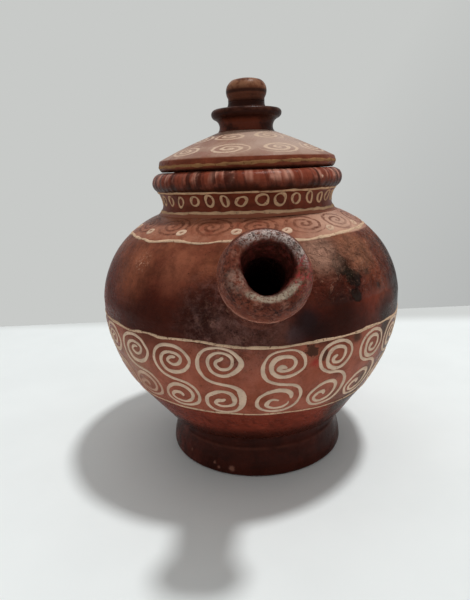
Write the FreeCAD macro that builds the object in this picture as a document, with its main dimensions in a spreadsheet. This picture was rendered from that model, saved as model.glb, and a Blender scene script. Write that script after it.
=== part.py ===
import FreeCAD, Part
import math
import os

import Sketcher
from FreeCAD import Placement, Rotation, Vector

# Lidded terracotta jug with a tubular spout, all sizes in millimetres.
# The frame stands at the centre of the foot: +Z is up along the turning axis, and the spout points along -Y.
# Every member is turned about an axis, so each one is an outline of corners given as a radius and a height.

doc = FreeCAD.newDocument("terracotta_jug")
sheet = doc.addObject("Spreadsheet::Sheet", "Sizes")

DIMENSIONS = [
    # Belly
    ("belly_radius", "77.4"),
    ("belly_height", "83.0"),
    ("flank_lean_ratio", "1.535"),
    ("shoulder_rise", "44.0"),
    ("wall", "5.5"),
    ("floor_thickness", "7.0"),
    # Foot ring and keel, counted in from the belly and up from the ground
    ("keel_inset", "26.8"),
    ("keel_rise", "4.8"),
    ("waist_inset", "7.6"),
    ("waist_rise", "4.9"),
    ("foot_rim_height", "14.5"),
    ("foot_rim_spread", "1.2"),
    ("foot_base_spread", "3.0"),
    ("foot_edge_round", "1.8"),
    ("foot_wall_bend", "40.0"),
    ("foot_ring_width", "10.7"),
    ("foot_hollow_taper", "3.0"),
    # Mouth and neck
    ("mouth_radius", "38.5"),
    ("neck_wall", "5.0"),
    ("neck_spread", "2.7"),
    ("neck_waist_rise", "5.0"),
    ("neck_top_rise", "11.6"),
    # Rolled rim
    ("roll_radius", "4.9"),
    ("roll_sink", "3.9"),
    # Lid cover
    ("lid_gap", "0.3"),
    ("lid_overhang", "6.5"),
    ("lid_base_inset", "1.6"),
    ("lid_shoulder_inset", "0.7"),
    ("lid_edge_mid_rise", "2.9"),
    ("lid_edge_rise", "5.5"),
    ("lid_top_rise", "18.3"),
    ("lid_crown_swell", "0.45"),
    ("lid_wall", "5.0"),
    ("lid_hollow_top_radius", "10.0"),
    # Lid flange
    ("flange_clearance", "1.2"),
    ("flange_thickness", "3.8"),
    ("flange_depth", "8.2"),
    ("flange_taper", "0.6"),
    # Knob collar
    ("collar_radius", "17.7"),
    ("collar_round", "1.4"),
    ("stem_inset", "4.2"),
    ("stem_foot_spread", "0.9"),
    ("stem_rise", "2.6"),
    ("collar_under_rise", "6.5"),
    ("collar_mid_rise", "8.8"),
    ("collar_upper_rise", "10.7"),
    ("collar_top_rise", "14.1"),
    # Knob bead
    ("bead_radius", "10.1"),
    ("bead_neck_inset", "1.0"),
    ("bead_crown_inset", "2.9"),
    ("bead_neck_rise", "1.9"),
    ("bead_mid_rise", "5.3"),
    ("bead_crown_rise", "10.2"),
    ("bead_dome_rise", "1.1"),
    # Spout, counted out from the belly's widest point
    ("spout_tilt", "24.0"),
    ("spout_stand", "29.0"),
    ("spout_mouth_rise", "32.5"),
    ("bore_radius", "7.2"),
    ("throat_spread", "1.4"),
    ("crest_spread", "3.3"),
    ("lip_front_spread", "2.7"),
    ("lip_spread", "1.8"),
    ("throat_depth", "4.0"),
    ("funnel_depth", "12.0"),
    ("lip_front_depth", "2.6"),
    ("lip_mid_depth", "8.6"),
    ("lip_depth", "15.0"),
    ("tube_wall", "4.8"),
    ("tube_root_spread", "0.5"),
    ("root_flare_spread", "4.0"),
    ("root_flare_length", "7.0"),
    ("root_flare_sink", "3.7"),
    # Cuts run this far past the faces that they open
    ("overrun", "3.0"),
]

for row, (name, value) in enumerate(DIMENSIONS, start=1):
    sheet.set(f"A{row}", name)
    sheet.set(f"B{row}", value)
    sheet.setAlias(f"B{row}", name)
doc.recompute()


def size(name):
    """The expression that reads one named size."""
    return f"Sizes.{name}"


def number(expression):
    """The present value of an expression."""
    value = sheet.evalExpression(expression)
    return float(getattr(value, "Value", value))


def bend(across, along):
    """Radius of the arc that leaves one corner square to a level line and reaches the other."""
    return f"((({across})^2 + ({along})^2) / (2 * ({across})))"


class Outline:
    """A closed outline in a body's XZ plane, its corners held by radius and height."""

    def __init__(self, body, name):
        self.sketch = body.newObject("Sketcher::SketchObject", name)
        plane = [item for item in body.Origin.OriginFeatures if item.Role == "XZ_Plane"][0]
        self.sketch.AttachmentSupport = [(plane, "")]
        self.sketch.MapMode = "FlatFace"
        self.corners = []
        self.edges = []

    def start(self, radius, height):
        self.corners.append((radius, height))

    def line(self, radius, height):
        self.edges.append({"kind": "line"})
        self.corners.append((radius, height))

    def arc(self, radius, height, turn, centre_height=None, centre_radius=None, bend_radius=None):
        """An arc to the next corner that turns left or right, held by its centre or its bend."""
        self.edges.append({
            "kind": "arc",
            "turn": turn,
            "centre_height": centre_height,
            "centre_radius": centre_radius,
            "bend_radius": bend_radius,
        })
        self.corners.append((radius, height))

    def centre_of(self, first, last, edge):
        """Where an arc's centre lies, from its two ends and the value that holds it."""
        middle = (first + last) * 0.5
        chord = last - first
        if edge["centre_height"] is not None:
            height = number(edge["centre_height"])
            shift = (height - middle.y) * chord.y / chord.x
            return Vector(middle.x - shift, height, 0)
        if edge["centre_radius"] is not None:
            radius = number(edge["centre_radius"])
            shift = (radius - middle.x) * chord.x / chord.y
            return Vector(radius, middle.y - shift, 0)
        reach = number(edge["bend_radius"])
        rise = math.sqrt(reach * reach - chord.Length * chord.Length * 0.25)
        left = Vector(-chord.y, chord.x, 0).normalize()
        side = 1 if edge["turn"] == "left" else -1
        return middle + left * (rise * side)

    def hold(self, kind, geometry, place, expression):
        """One corner or centre, held at a distance from the sketch's origin."""
        if expression == "0":
            axis = -2 if kind == "DistanceX" else -1
            self.sketch.addConstraint(Sketcher.Constraint("PointOnObject", geometry, place, axis))
            return
        rule = Sketcher.Constraint(kind, -1, 1, geometry, place, number(expression))
        index = self.sketch.addConstraint(rule)
        self.sketch.setExpression(f"Constraints[{index}]", expression)

    def close(self):
        """Draw every edge, join the ends and bind each corner to the sheet."""
        points = [Vector(number(r), number(z), 0) for r, z in self.corners]
        self.edges.append({"kind": "line"})
        ends = []
        for index, edge in enumerate(self.edges):
            first = points[index]
            last = points[(index + 1) % len(points)]
            if edge["kind"] == "line":
                geometry = self.sketch.addGeometry(Part.LineSegment(first, last), False)
                ends.append((geometry, 1, 2))
                continue
            centre = self.centre_of(first, last, edge)
            circle = Part.Circle(centre, Vector(0, 0, 1), (first - centre).Length)
            angles = [math.atan2(p.y - centre.y, p.x - centre.x) for p in (first, last)]
            if edge["turn"] == "right":
                angles.reverse()
            if angles[1] <= angles[0]:
                angles[1] += 2 * math.pi
            geometry = self.sketch.addGeometry(Part.ArcOfCircle(circle, angles[0], angles[1]), False)
            ends.append((geometry, 1, 2) if edge["turn"] == "left" else (geometry, 2, 1))
        for index, (geometry, _, finish) in enumerate(ends):
            following, begin, _ = ends[(index + 1) % len(ends)]
            joint = Sketcher.Constraint("Coincident", geometry, finish, following, begin)
            self.sketch.addConstraint(joint)
        for index, (radius, height) in enumerate(self.corners):
            geometry, begin, _ = ends[index]
            self.hold("DistanceX", geometry, begin, radius)
            self.hold("DistanceY", geometry, begin, height)
        for (geometry, _, _), edge in zip(ends, self.edges):
            if edge["kind"] == "line":
                continue
            if edge["centre_height"] is not None:
                self.hold("DistanceY", geometry, 3, edge["centre_height"])
            elif edge["centre_radius"] is not None:
                self.hold("DistanceX", geometry, 3, edge["centre_radius"])
            else:
                reach = Sketcher.Constraint("Radius", geometry, number(edge["bend_radius"]))
                index = self.sketch.addConstraint(reach)
                self.sketch.setExpression(f"Constraints[{index}]", edge["bend_radius"])
        doc.recompute()
        return self.sketch


def turned(label, draw):
    """A body turned a full circle about Z from the outline that draw lays down."""
    body = doc.addObject("PartDesign::Body", label)
    body.Label = label
    outline = Outline(body, f"{label}_outline")
    draw(outline)
    sketch = outline.close()
    revolution = body.newObject("PartDesign::Revolution", f"{label}_turning")
    revolution.Profile = sketch
    revolution.ReferenceAxis = (sketch, ["V_Axis"])
    revolution.Angle = 360
    sketch.Visibility = False
    doc.recompute()
    return body


# Heights and radii of the foot and the belly's lower half
waist_height = f"({size('foot_rim_height')} + {size('waist_rise')})"
keel_height = f"({waist_height} + {size('keel_rise')})"
floor_height = f"({waist_height} + {size('floor_thickness')})"
keel_radius = f"({size('belly_radius')} - {size('keel_inset')})"
waist_radius = f"({keel_radius} - {size('waist_inset')})"
foot_rim_radius = f"({waist_radius} + {size('foot_rim_spread')})"
foot_base_radius = f"({foot_rim_radius} + {size('foot_base_spread')})"
foot_hollow_radius = f"({foot_base_radius} - {size('foot_ring_width')})"
flank_rise = f"({size('belly_height')} - {keel_height})"
flank_lean = f"({size('flank_lean_ratio')} * atan({size('keel_inset')} / {flank_rise}))"
lean_cosine = f"cos({flank_lean})"
lean_sine = f"sin({flank_lean})"
lean_slope = f"tan({flank_lean})"
lower_bend = f"(({flank_rise} * {lean_slope} - {size('keel_inset')}) / (1 / {lean_cosine} - 1))"
lower_centre_radius = f"({size('belly_radius')} - {lower_bend})"
inner_radius = f"({size('belly_radius')} - {size('wall')})"

# Heights and radii of the mouth and the belly's upper half
shoulder_height = f"({size('belly_height')} + {size('shoulder_rise')})"
neck_radius = f"({size('mouth_radius')} + {size('neck_wall')})"
shoulder_radius = f"({neck_radius} + {size('neck_spread')})"
upper_bend = bend(f"({size('belly_radius')} - {shoulder_radius})", size("shoulder_rise"))
upper_centre_radius = f"({size('belly_radius')} - {upper_bend})"
neck_waist_height = f"({shoulder_height} + {size('neck_waist_rise')})"
neck_top_height = f"({shoulder_height} + {size('neck_top_rise')})"
roll_height = f"({neck_top_height} + {size('roll_sink')})"
roll_centre_radius = f"({size('mouth_radius')} + {size('roll_radius')})"
roll_foot_radius = f"({roll_centre_radius} + sqrt({size('roll_radius')}^2 - {size('roll_sink')}^2))"

# Heights and radii of the lid and its knob
lid_base_height = f"({roll_height} + {size('roll_radius')} + {size('lid_gap')})"
lid_top_height = f"({lid_base_height} + {size('lid_top_rise')})"
lid_edge_radius = f"({size('mouth_radius')} + {size('lid_overhang')})"
lid_shoulder_radius = f"({lid_edge_radius} - {size('lid_shoulder_inset')})"
flange_radius = f"({size('mouth_radius')} - {size('flange_clearance')})"
flange_bore_radius = f"({flange_radius} - {size('flange_thickness')})"
stem_radius = f"({size('collar_radius')} - {size('stem_inset')})"
stem_foot_radius = f"({stem_radius} + {size('stem_foot_spread')})"
collar_round_radius = f"({size('collar_radius')} - {size('collar_round')})"
collar_top_height = f"({lid_top_height} + {size('collar_top_rise')})"
bead_neck_radius = f"({size('bead_radius')} - {size('bead_neck_inset')})"

# Place and radii of the spout
spout_reach = f"({size('belly_radius')} + {size('spout_stand')})"
spout_mouth_height = f"({size('belly_height')} + {size('spout_mouth_rise')})"
throat_radius = f"({size('bore_radius')} + {size('throat_spread')})"
crest_radius = f"({throat_radius} + {size('crest_spread')})"
lip_front_radius = f"({crest_radius} + {size('lip_front_spread')})"
lip_radius = f"({lip_front_radius} + {size('lip_spread')})"
tube_radius = f"({size('bore_radius')} + {size('tube_wall')})"
tube_root_radius = f"({tube_radius} + {size('tube_root_spread')})"
root_flare_radius = f"({tube_root_radius} + {size('root_flare_spread')})"

# Depth from the spout's mouth to the belly's outside, along the spout's axis
reach_past_bend = f"({spout_reach} - {upper_centre_radius})"
run_inward = f"{reach_past_bend} * cos({size('spout_tilt')})"
run_to_bend = f"({run_inward} + {size('spout_mouth_rise')} * sin({size('spout_tilt')}))"
miss_square = f"{reach_past_bend}^2 + {size('spout_mouth_rise')}^2 - {run_to_bend}^2"
root_depth = f"({run_to_bend} - sqrt({upper_bend}^2 - ({miss_square})))"


def draw_foot_ring(outline):
    """A hollow ring whose slightly swelling wall flares to the ground, with a waist under the belly."""
    outline.start(foot_hollow_radius, "0")
    outline.line(f"{foot_base_radius} - {size('foot_edge_round')}", "0")
    outline.arc(
        foot_base_radius,
        size("foot_edge_round"),
        "left",
        centre_height=size("foot_edge_round"),
    )
    outline.arc(
        foot_rim_radius,
        size("foot_rim_height"),
        "left",
        bend_radius=size("foot_wall_bend"),
    )
    outline.arc(waist_radius, waist_height, "right", centre_height=waist_height)
    outline.line(f"{foot_hollow_radius} - {size('foot_hollow_taper')}", waist_height)


def draw_belly_bowl(outline):
    """The belly's lower half: flat floor, rounded keel, straight flank and a bend to the widest point."""
    keel_turn = f"({lean_cosine} * {size('waist_inset')} - {lean_sine} * {size('keel_rise')})"
    keel_bend = f"({size('waist_inset')}^2 + {size('keel_rise')}^2) / (2 * {keel_turn})"
    flank_top_radius = f"({lower_centre_radius} + {lower_bend} * {lean_cosine})"
    flank_top_height = f"({size('belly_height')} - {lower_bend} * {lean_sine})"
    inner_bend = f"({lower_bend} - {size('wall')})"
    inner_top_radius = f"({lower_centre_radius} + {inner_bend} * {lean_cosine})"
    inner_top_height = f"({size('belly_height')} - {inner_bend} * {lean_sine})"
    floor_radius = f"({inner_top_radius} - {lean_slope} * ({inner_top_height} - {floor_height}))"
    outline.start("0", waist_height)
    outline.line(waist_radius, waist_height)
    outline.arc(keel_radius, keel_height, "left", bend_radius=keel_bend)
    outline.line(flank_top_radius, flank_top_height)
    outline.arc(size("belly_radius"), size("belly_height"), "left", centre_height=size("belly_height"))
    outline.line(inner_radius, size("belly_height"))
    outline.arc(inner_top_radius, inner_top_height, "right", centre_height=size("belly_height"))
    outline.line(floor_radius, floor_height)
    outline.line("0", floor_height)


def draw_belly_shoulder(outline):
    """The belly's upper half: a tighter bend from the widest point in to the mouth."""
    inner_bend = f"({upper_bend} - {size('wall')})"
    mouth_reach = f"({size('mouth_radius')} - {upper_centre_radius})"
    mouth_height = f"({size('belly_height')} + sqrt({inner_bend}^2 - {mouth_reach}^2))"
    outline.start(size("belly_radius"), size("belly_height"))
    outline.arc(shoulder_radius, shoulder_height, "left", centre_height=size("belly_height"))
    outline.line(size("mouth_radius"), shoulder_height)
    outline.line(size("mouth_radius"), mouth_height)
    outline.arc(inner_radius, size("belly_height"), "right", centre_height=size("belly_height"))


def draw_filled_shoulder(outline):
    """The upper half's outside with no hollow, which the spout's tube is fitted against."""
    outline.start("0", size("belly_height"))
    outline.line(size("belly_radius"), size("belly_height"))
    outline.arc(shoulder_radius, shoulder_height, "left", centre_height=size("belly_height"))
    outline.line("0", shoulder_height)


def draw_neck(outline):
    """A short upright collar, narrowest at its waist and spreading under the rolled rim."""
    outline.start(size("mouth_radius"), shoulder_height)
    outline.line(shoulder_radius, shoulder_height)
    outline.arc(neck_radius, neck_waist_height, "right", centre_height=neck_waist_height)
    outline.arc(roll_foot_radius, neck_top_height, "right", centre_height=neck_waist_height)
    outline.line(size("mouth_radius"), neck_top_height)


def draw_rim_roll(outline):
    """A round coil that sits on the neck and carries the lid."""
    outline.start(size("mouth_radius"), neck_top_height)
    outline.line(roll_foot_radius, neck_top_height)
    outline.arc(size("mouth_radius"), roll_height, "left", centre_height=roll_height)


def draw_lid_cover(outline):
    """A low cone with a rounded edge and a slight crown, hollow underneath."""
    edge_mid_height = f"({lid_base_height} + {size('lid_edge_mid_rise')})"
    edge_top_height = f"({lid_base_height} + {size('lid_edge_rise')})"
    slope_run = f"({lid_shoulder_radius} - {stem_foot_radius})"
    slope_rise = f"({size('lid_top_rise')} - {size('lid_edge_rise')})"
    slope_length = f"sqrt({slope_run}^2 + {slope_rise}^2)"
    crown_bend = f"(({slope_length}^2 / 4 + {size('lid_crown_swell')}^2) / (2 * {size('lid_crown_swell')}))"
    hollow_edge_height = f"({edge_top_height} + {slope_rise} / {slope_run} * ({lid_shoulder_radius}"
    hollow_edge_height += f" - {flange_bore_radius}) - {size('lid_wall')})"
    hollow_top_height = f"({lid_top_height} - {size('lid_wall')})"
    outline.start(flange_bore_radius, lid_base_height)
    outline.line(f"{lid_edge_radius} - {size('lid_base_inset')}", lid_base_height)
    outline.arc(lid_edge_radius, edge_mid_height, "left", centre_height=edge_mid_height)
    outline.arc(lid_shoulder_radius, edge_top_height, "left", centre_height=edge_mid_height)
    outline.arc(stem_foot_radius, lid_top_height, "left", bend_radius=crown_bend)
    outline.line("0", lid_top_height)
    outline.line("0", hollow_top_height)
    outline.line(size("lid_hollow_top_radius"), hollow_top_height)
    outline.line(flange_bore_radius, hollow_edge_height)


def draw_lid_flange(outline):
    """A ring under the lid that drops inside the mouth and keeps the lid centred."""
    flange_end_height = f"({lid_base_height} - {size('flange_depth')})"
    outline.start(f"{flange_bore_radius} + {size('flange_taper')}", flange_end_height)
    outline.line(f"{flange_radius} - {size('flange_taper')}", flange_end_height)
    outline.line(flange_radius, lid_base_height)
    outline.line(flange_bore_radius, lid_base_height)


def draw_knob_collar(outline):
    """A short stem that spreads into a thick round-edged disc, dished on top."""
    stem_height = f"({lid_top_height} + {size('stem_rise')})"
    under_height = f"({lid_top_height} + {size('collar_under_rise')})"
    mid_height = f"({lid_top_height} + {size('collar_mid_rise')})"
    upper_height = f"({lid_top_height} + {size('collar_upper_rise')})"
    outline.start("0", lid_top_height)
    outline.line(stem_foot_radius, lid_top_height)
    outline.arc(stem_radius, stem_height, "right", centre_height=stem_height)
    outline.arc(collar_round_radius, under_height, "right", centre_height=stem_height)
    outline.arc(size("collar_radius"), mid_height, "left", centre_height=mid_height)
    outline.arc(collar_round_radius, upper_height, "left", centre_height=mid_height)
    outline.arc(bead_neck_radius, collar_top_height, "right", centre_height=collar_top_height)
    outline.line("0", collar_top_height)


def draw_knob_bead(outline):
    """A finial with a short neck, a full side and a flattened dome."""
    neck_height = f"({collar_top_height} + {size('bead_neck_rise')})"
    mid_height = f"({collar_top_height} + {size('bead_mid_rise')})"
    crown_height = f"({collar_top_height} + {size('bead_crown_rise')})"
    top_height = f"({crown_height} + {size('bead_dome_rise')})"
    crown_radius = f"({size('bead_radius')} - {size('bead_crown_inset')})"
    outline.start("0", collar_top_height)
    outline.line(bead_neck_radius, collar_top_height)
    outline.line(bead_neck_radius, neck_height)
    outline.arc(size("bead_radius"), mid_height, "left", centre_height=mid_height)
    outline.arc(crown_radius, crown_height, "left", centre_height=mid_height)
    outline.arc("0", top_height, "left", centre_radius="0")


def draw_spout_lip(outline):
    """The thick mouth ring: a funnel inside, a rounded crest and a full outer edge set back from it."""
    outline.start(size("bore_radius"), size("funnel_depth"))
    outline.line(throat_radius, size("throat_depth"))
    outline.arc(crest_radius, "0", "left", centre_height=size("throat_depth"))
    outline.arc(
        lip_front_radius,
        size("lip_front_depth"),
        "left",
        centre_radius=crest_radius,
    )
    outline.arc(lip_radius, size("lip_mid_depth"), "left", centre_height=size("lip_mid_depth"))
    outline.arc(tube_radius, size("lip_depth"), "left", centre_height=size("lip_mid_depth"))
    outline.line(size("bore_radius"), size("lip_depth"))


def draw_spout_tube(outline):
    """The tube behind the lip, spreading where it is pressed on to the belly."""
    flare_start = f"({root_depth} - {size('root_flare_length')})"
    flare_end = f"({root_depth} + {size('root_flare_sink')})"
    blank_end = f"({flare_end} + {size('overrun')})"
    outline.start(size("bore_radius"), size("lip_depth"))
    outline.line(tube_radius, size("lip_depth"))
    outline.line(tube_root_radius, flare_start)
    outline.arc(root_flare_radius, flare_end, "right", centre_height=flare_start)
    outline.line(root_flare_radius, blank_end)
    outline.line(size("bore_radius"), blank_end)


def set_on_spout_axis(item):
    """Place an item so that its Z axis runs from the spout's mouth down into the vessel."""
    item.Placement = Placement(Vector(0, 0, 0), Rotation(Vector(-1, 0, 0), 90 + number(size("spout_tilt"))))
    item.setExpression("Placement.Rotation.Angle", f"90 + {size('spout_tilt')}")
    item.setExpression("Placement.Base.y", f"-{spout_reach}")
    item.setExpression("Placement.Base.z", spout_mouth_height)


def cut(label, base, tool):
    """One member cut by another shape."""
    result = doc.addObject("Part::Cut", label)
    result.Label = label
    result.Base = base
    result.Tool = tool
    doc.recompute()
    return result


# Turned members of the pot
foot_ring = turned("foot_ring", draw_foot_ring)
neck = turned("neck", draw_neck)
rim_roll = turned("rim_roll", draw_rim_roll)
belly_bowl = turned("belly_bowl", draw_belly_bowl)
whole_shoulder = turned("whole_shoulder", draw_belly_shoulder)
filled_shoulder = turned("filled_shoulder", draw_filled_shoulder)

# Turned members of the spout, set on its own axis
spout_lip = turned("spout_lip", draw_spout_lip)
spout_blank = turned("spout_blank", draw_spout_tube)
set_on_spout_axis(spout_lip)
set_on_spout_axis(spout_blank)

# The spout's bore goes on through the belly's wall
wall_bore = doc.addObject("Part::Cylinder", "wall_bore")
wall_bore.setExpression("Radius", size("bore_radius"))
bore_reach = f"{root_depth} + {size('root_flare_sink')} + {size('wall')} + {size('overrun')}"
wall_bore.setExpression("Height", bore_reach)
set_on_spout_axis(wall_bore)

# The tube ends on the belly's outside, and the bore pierces the shoulder
tube_over_shoulder = cut("tube_over_shoulder", spout_blank, filled_shoulder)
spout_tube = cut("spout_tube", tube_over_shoulder, belly_bowl)
belly_shoulder = cut("belly_shoulder", whole_shoulder, wall_bore)

# Members of the lid
lid_cover = turned("lid_cover", draw_lid_cover)
lid_flange = turned("lid_flange", draw_lid_flange)
knob_collar = turned("knob_collar", draw_knob_collar)
knob_bead = turned("knob_bead", draw_knob_bead)

MEMBERS = [
    foot_ring,
    belly_bowl,
    belly_shoulder,
    neck,
    rim_roll,
    spout_tube,
    spout_lip,
    lid_cover,
    lid_flange,
    knob_collar,
    knob_bead,
]

doc.recompute()
for item in doc.Objects:
    if "Invalid" in item.State or "Error" in item.State:
        raise RuntimeError(f"{item.Label} did not build: {item.State}")
    if item.isDerivedFrom("Sketcher::SketchObject") and not item.FullyConstrained:
        raise RuntimeError(f"{item.Label} is not fully held")
for member in MEMBERS:
    shape = member.Shape
    if shape.isNull() or not shape.isValid() or len(shape.Solids) != 1:
        raise RuntimeError(f"{member.Label} is not one valid solid")
    box = shape.BoundBox
    print(f"{member.Label}: volume {shape.Volume:.1f}, z {box.ZMin:.2f} to {box.ZMax:.2f}")

os.makedirs("parts", exist_ok=True)
for member in MEMBERS:
    member.Shape.exportStep(f"parts/{member.Label}.step")
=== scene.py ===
import bisect
import math
import random

import bpy
from mathutils import Matrix, Vector, noise


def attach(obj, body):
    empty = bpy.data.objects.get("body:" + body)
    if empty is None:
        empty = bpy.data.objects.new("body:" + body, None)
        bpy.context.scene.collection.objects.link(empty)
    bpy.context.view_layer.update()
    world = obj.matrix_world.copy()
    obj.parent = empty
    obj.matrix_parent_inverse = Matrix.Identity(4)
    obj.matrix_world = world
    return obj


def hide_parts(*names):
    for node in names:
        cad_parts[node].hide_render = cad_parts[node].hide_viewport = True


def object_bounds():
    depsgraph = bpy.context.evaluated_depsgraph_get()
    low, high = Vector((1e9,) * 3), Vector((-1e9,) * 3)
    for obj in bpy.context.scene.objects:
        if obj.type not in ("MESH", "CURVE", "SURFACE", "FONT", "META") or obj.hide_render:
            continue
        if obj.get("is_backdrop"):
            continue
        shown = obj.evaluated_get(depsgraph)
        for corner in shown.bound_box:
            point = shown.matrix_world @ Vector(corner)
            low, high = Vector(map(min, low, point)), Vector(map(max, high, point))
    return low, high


# Lidded terracotta jug with a tubular spout: the looks.
# The numbers below are millimetres in the part's frame, and angles are degrees round the
# turning axis: 0 faces the spout (-Y) and positive angles go towards +X.

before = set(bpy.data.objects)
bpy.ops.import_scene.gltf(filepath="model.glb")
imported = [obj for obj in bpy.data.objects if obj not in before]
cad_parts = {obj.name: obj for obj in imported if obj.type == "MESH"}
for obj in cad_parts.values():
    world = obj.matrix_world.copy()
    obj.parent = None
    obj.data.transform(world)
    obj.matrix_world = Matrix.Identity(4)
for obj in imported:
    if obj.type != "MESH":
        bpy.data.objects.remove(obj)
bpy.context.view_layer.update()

MM = 0.001
SEED = 20
TOUCHING = 1e-6
NOWHERE = Vector((0, 0, 0))
rng = random.Random(SEED)

# Sizes shared with the solids
BELLY_R, BELLY_Z = 77.4, 83.0
KEEL_R, KEEL_Z = 50.6, 24.2
WAIST_R, WAIST_Z = 43.0, 19.4
FOOT_RIM = (44.2, 14.5)
FOOT_BASE_R, FOOT_EDGE_R = 47.2, 1.8
FOOT_BEND = 40.0
HOLLOW_R, HOLLOW_TOP_R = 36.5, 33.5
MOUTH_R = 38.5
SHOULDER = (46.2, 127.0)
NECK_WAIST = (43.5, 132.0)
WALL = 5.5
FLOOR_Z = 26.4
ROLL = (43.4, 142.5)
ROLL_R = 4.9
NECK_TOP_Z = 138.6
LID_Z = 147.7
LID_TOP = (14.4, 166.0)
LID_EDGE_R, LID_BASE_R, LID_SHOULDER_R = 45.0, 43.4, 44.3
LID_HOLLOW_Z, LID_FLANGE_Z = 161.0, LID_Z - 8.2
LID_CROWN = 0.45
SPOUT_TILT = 24.0
SPOUT_MOUTH = Vector((0.0, -106.4, 115.5))
BORE_R = 7.2
BORE_ROOM = 0.15

# The straight flank leans this much more than the line from the keel to the widest point
FLANK_LEAN = 1.535

# Sizes of the clay's unevenness: broad, middle and fine, and along and across the turning marks
BROAD, MIDDLE, FINE = 34.0, 12.0, 3.6
MARK_LONG, MARK_HIGH = 30.0, 3.2

# The edges of the painted bands, and how far the foot and the knob stand off the axis
BAND_FOOT = (42.6, 43.4)
BAND_TOP = (77.8, 78.4)
SHOULDER_LINE = (118.2, 118.9)
LEAN = (
    (0, 1.5, -1.9), (22, 1.5, -1.9), (36, 0.7, -0.9), (52, 0.0, 0.0), (140, 0.0, 0.0), (152, 0.4, 0.0),
    (192, 1.4, 0.0),
)


# Outlines

def smooth(value, low, high):
    """A smooth step of a plain number."""
    share = min(max((value - low) / (high - low), 0.0), 1.0)
    return share * share * (3 - 2 * share)


def curve(first, last, centre, spacing=1.0, long_way=False):
    """Points along an arc between two corners, the first corner left out."""
    begin = math.atan2(first[1] - centre[1], first[0] - centre[0])
    sweep = math.atan2(last[1] - centre[1], last[0] - centre[0]) - begin
    sweep = (sweep + math.pi) % (2 * math.pi) - math.pi
    if long_way:
        sweep -= math.copysign(2 * math.pi, sweep)
    radius = math.dist(first, centre)
    count = max(3, round(abs(sweep) * radius / spacing))
    x, y = centre
    turns = [begin + sweep * index / count for index in range(1, count)]
    return [(x + radius * math.cos(turn), y + radius * math.sin(turn)) for turn in turns] + [last]


def straight(first, last, spacing=1.0):
    """Points along a straight run, the first corner left out."""
    count = max(1, round(math.dist(first, last) / spacing))
    inner = range(1, count)
    return [tuple(a + (b - a) * index / count for a, b in zip(first, last)) for index in inner] + [last]


def arc_centre(first, last, kind, size):
    """Centre of an arc between two corners: at a height, at a radius, or of a bend that turns left."""
    middle = ((first[0] + last[0]) / 2, (first[1] + last[1]) / 2)
    run = (last[0] - first[0], last[1] - first[1])
    if kind == "height":
        return (middle[0] - (size - middle[1]) * run[1] / run[0], size)
    if kind == "radius":
        return (size, middle[1] - (size - middle[0]) * run[0] / run[1])
    length = math.hypot(*run)
    rise = math.sqrt(size * size - length * length / 4)
    return (middle[0] - run[1] / length * rise, middle[1] + run[0] / length * rise)


def outline(start, *runs):
    """Points of an outline, run after run.

    A run is (corner, spacing) for a straight line, (corner, spacing, centre) or
    (corner, spacing, kind, size) for an arc, or a list of points that starts where the last run ends.
    """
    points = [start]
    for run in runs:
        if isinstance(run, list):
            points[-1:] = run
            continue
        corner, spacing, *arc = run
        if len(arc) == 2:
            arc = [arc_centre(points[-1], corner, *arc)]
        points += curve(points[-1], corner, arc[0], spacing) if arc else straight(points[-1], corner, spacing)
    return points


def lean(height):
    """How far the hand-set foot and knob stand off the belly's axis."""
    height = min(max(height, LEAN[0][0]), LEAN[-1][0])
    for low, high in zip(LEAN, LEAN[1:]):
        if height <= high[0]:
            share = smooth(height, low[0], high[0])
            return Vector((low[1] + (high[1] - low[1]) * share, low[2] + (high[2] - low[2]) * share, 0))


def around(angle, radius, height):
    """A place from its angle, radius and height."""
    turn = math.radians(angle)
    return Vector((radius * math.sin(turn), -radius * math.cos(turn), height))


def outward(before, after):
    """Outward direction of an outline between two of its points."""
    size = math.dist(before, after) or 1.0
    return ((after[1] - before[1]) / size, (before[0] - after[0]) / size)


def on_ring(turn, radius, height, out, up):
    """A place on a turned skin, and the direction out of the skin there."""
    side, face = math.sin(turn), -math.cos(turn)
    return Vector((radius * side, radius * face, height)), Vector((out * side, out * face, up))


class Skin:
    """An outline turned about the axis, with the hand-made unevenness of the clay."""

    def __init__(self, points, uneven):
        self.points = points
        self.uneven = uneven
        self.lengths = [0.0]
        for first, last in zip(points, points[1:]):
            self.lengths.append(self.lengths[-1] + math.dist(first, last))

    def spot(self, along):
        """Radius, height and outward direction at a length along the outline."""
        along = min(max(along, 0.0), self.lengths[-1] - TOUCHING)
        index = min(bisect.bisect_right(self.lengths, along) - 1, len(self.points) - 2)
        first, last = self.points[index], self.points[index + 1]
        share = (along - self.lengths[index]) / (self.lengths[index + 1] - self.lengths[index])
        before, after = self.points[max(index - 1, 0)], self.points[min(index + 2, len(self.points) - 1)]
        return (*(a + (b - a) * share for a, b in zip(first, last)), *outward(before, after))

    def along_height(self, height):
        """Length along the outline at which it first reaches a height."""
        for index, (first, last) in enumerate(zip(self.points, self.points[1:])):
            if first[1] <= height <= last[1]:
                share = (height - first[1]) / (last[1] - first[1] or 1.0)
                return self.lengths[index] + share * (self.lengths[index + 1] - self.lengths[index])
        return self.lengths[-1]

    def at(self, angle, along, lift=0.0):
        """A place on the skin, lifted off it by a distance."""
        radius, height, out, up = self.spot(along)
        base, normal = on_ring(math.radians(angle), radius, height, out, up)
        return base + normal * (self.uneven(base, normal) + lift) + lean(height)


# Meshes

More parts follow.
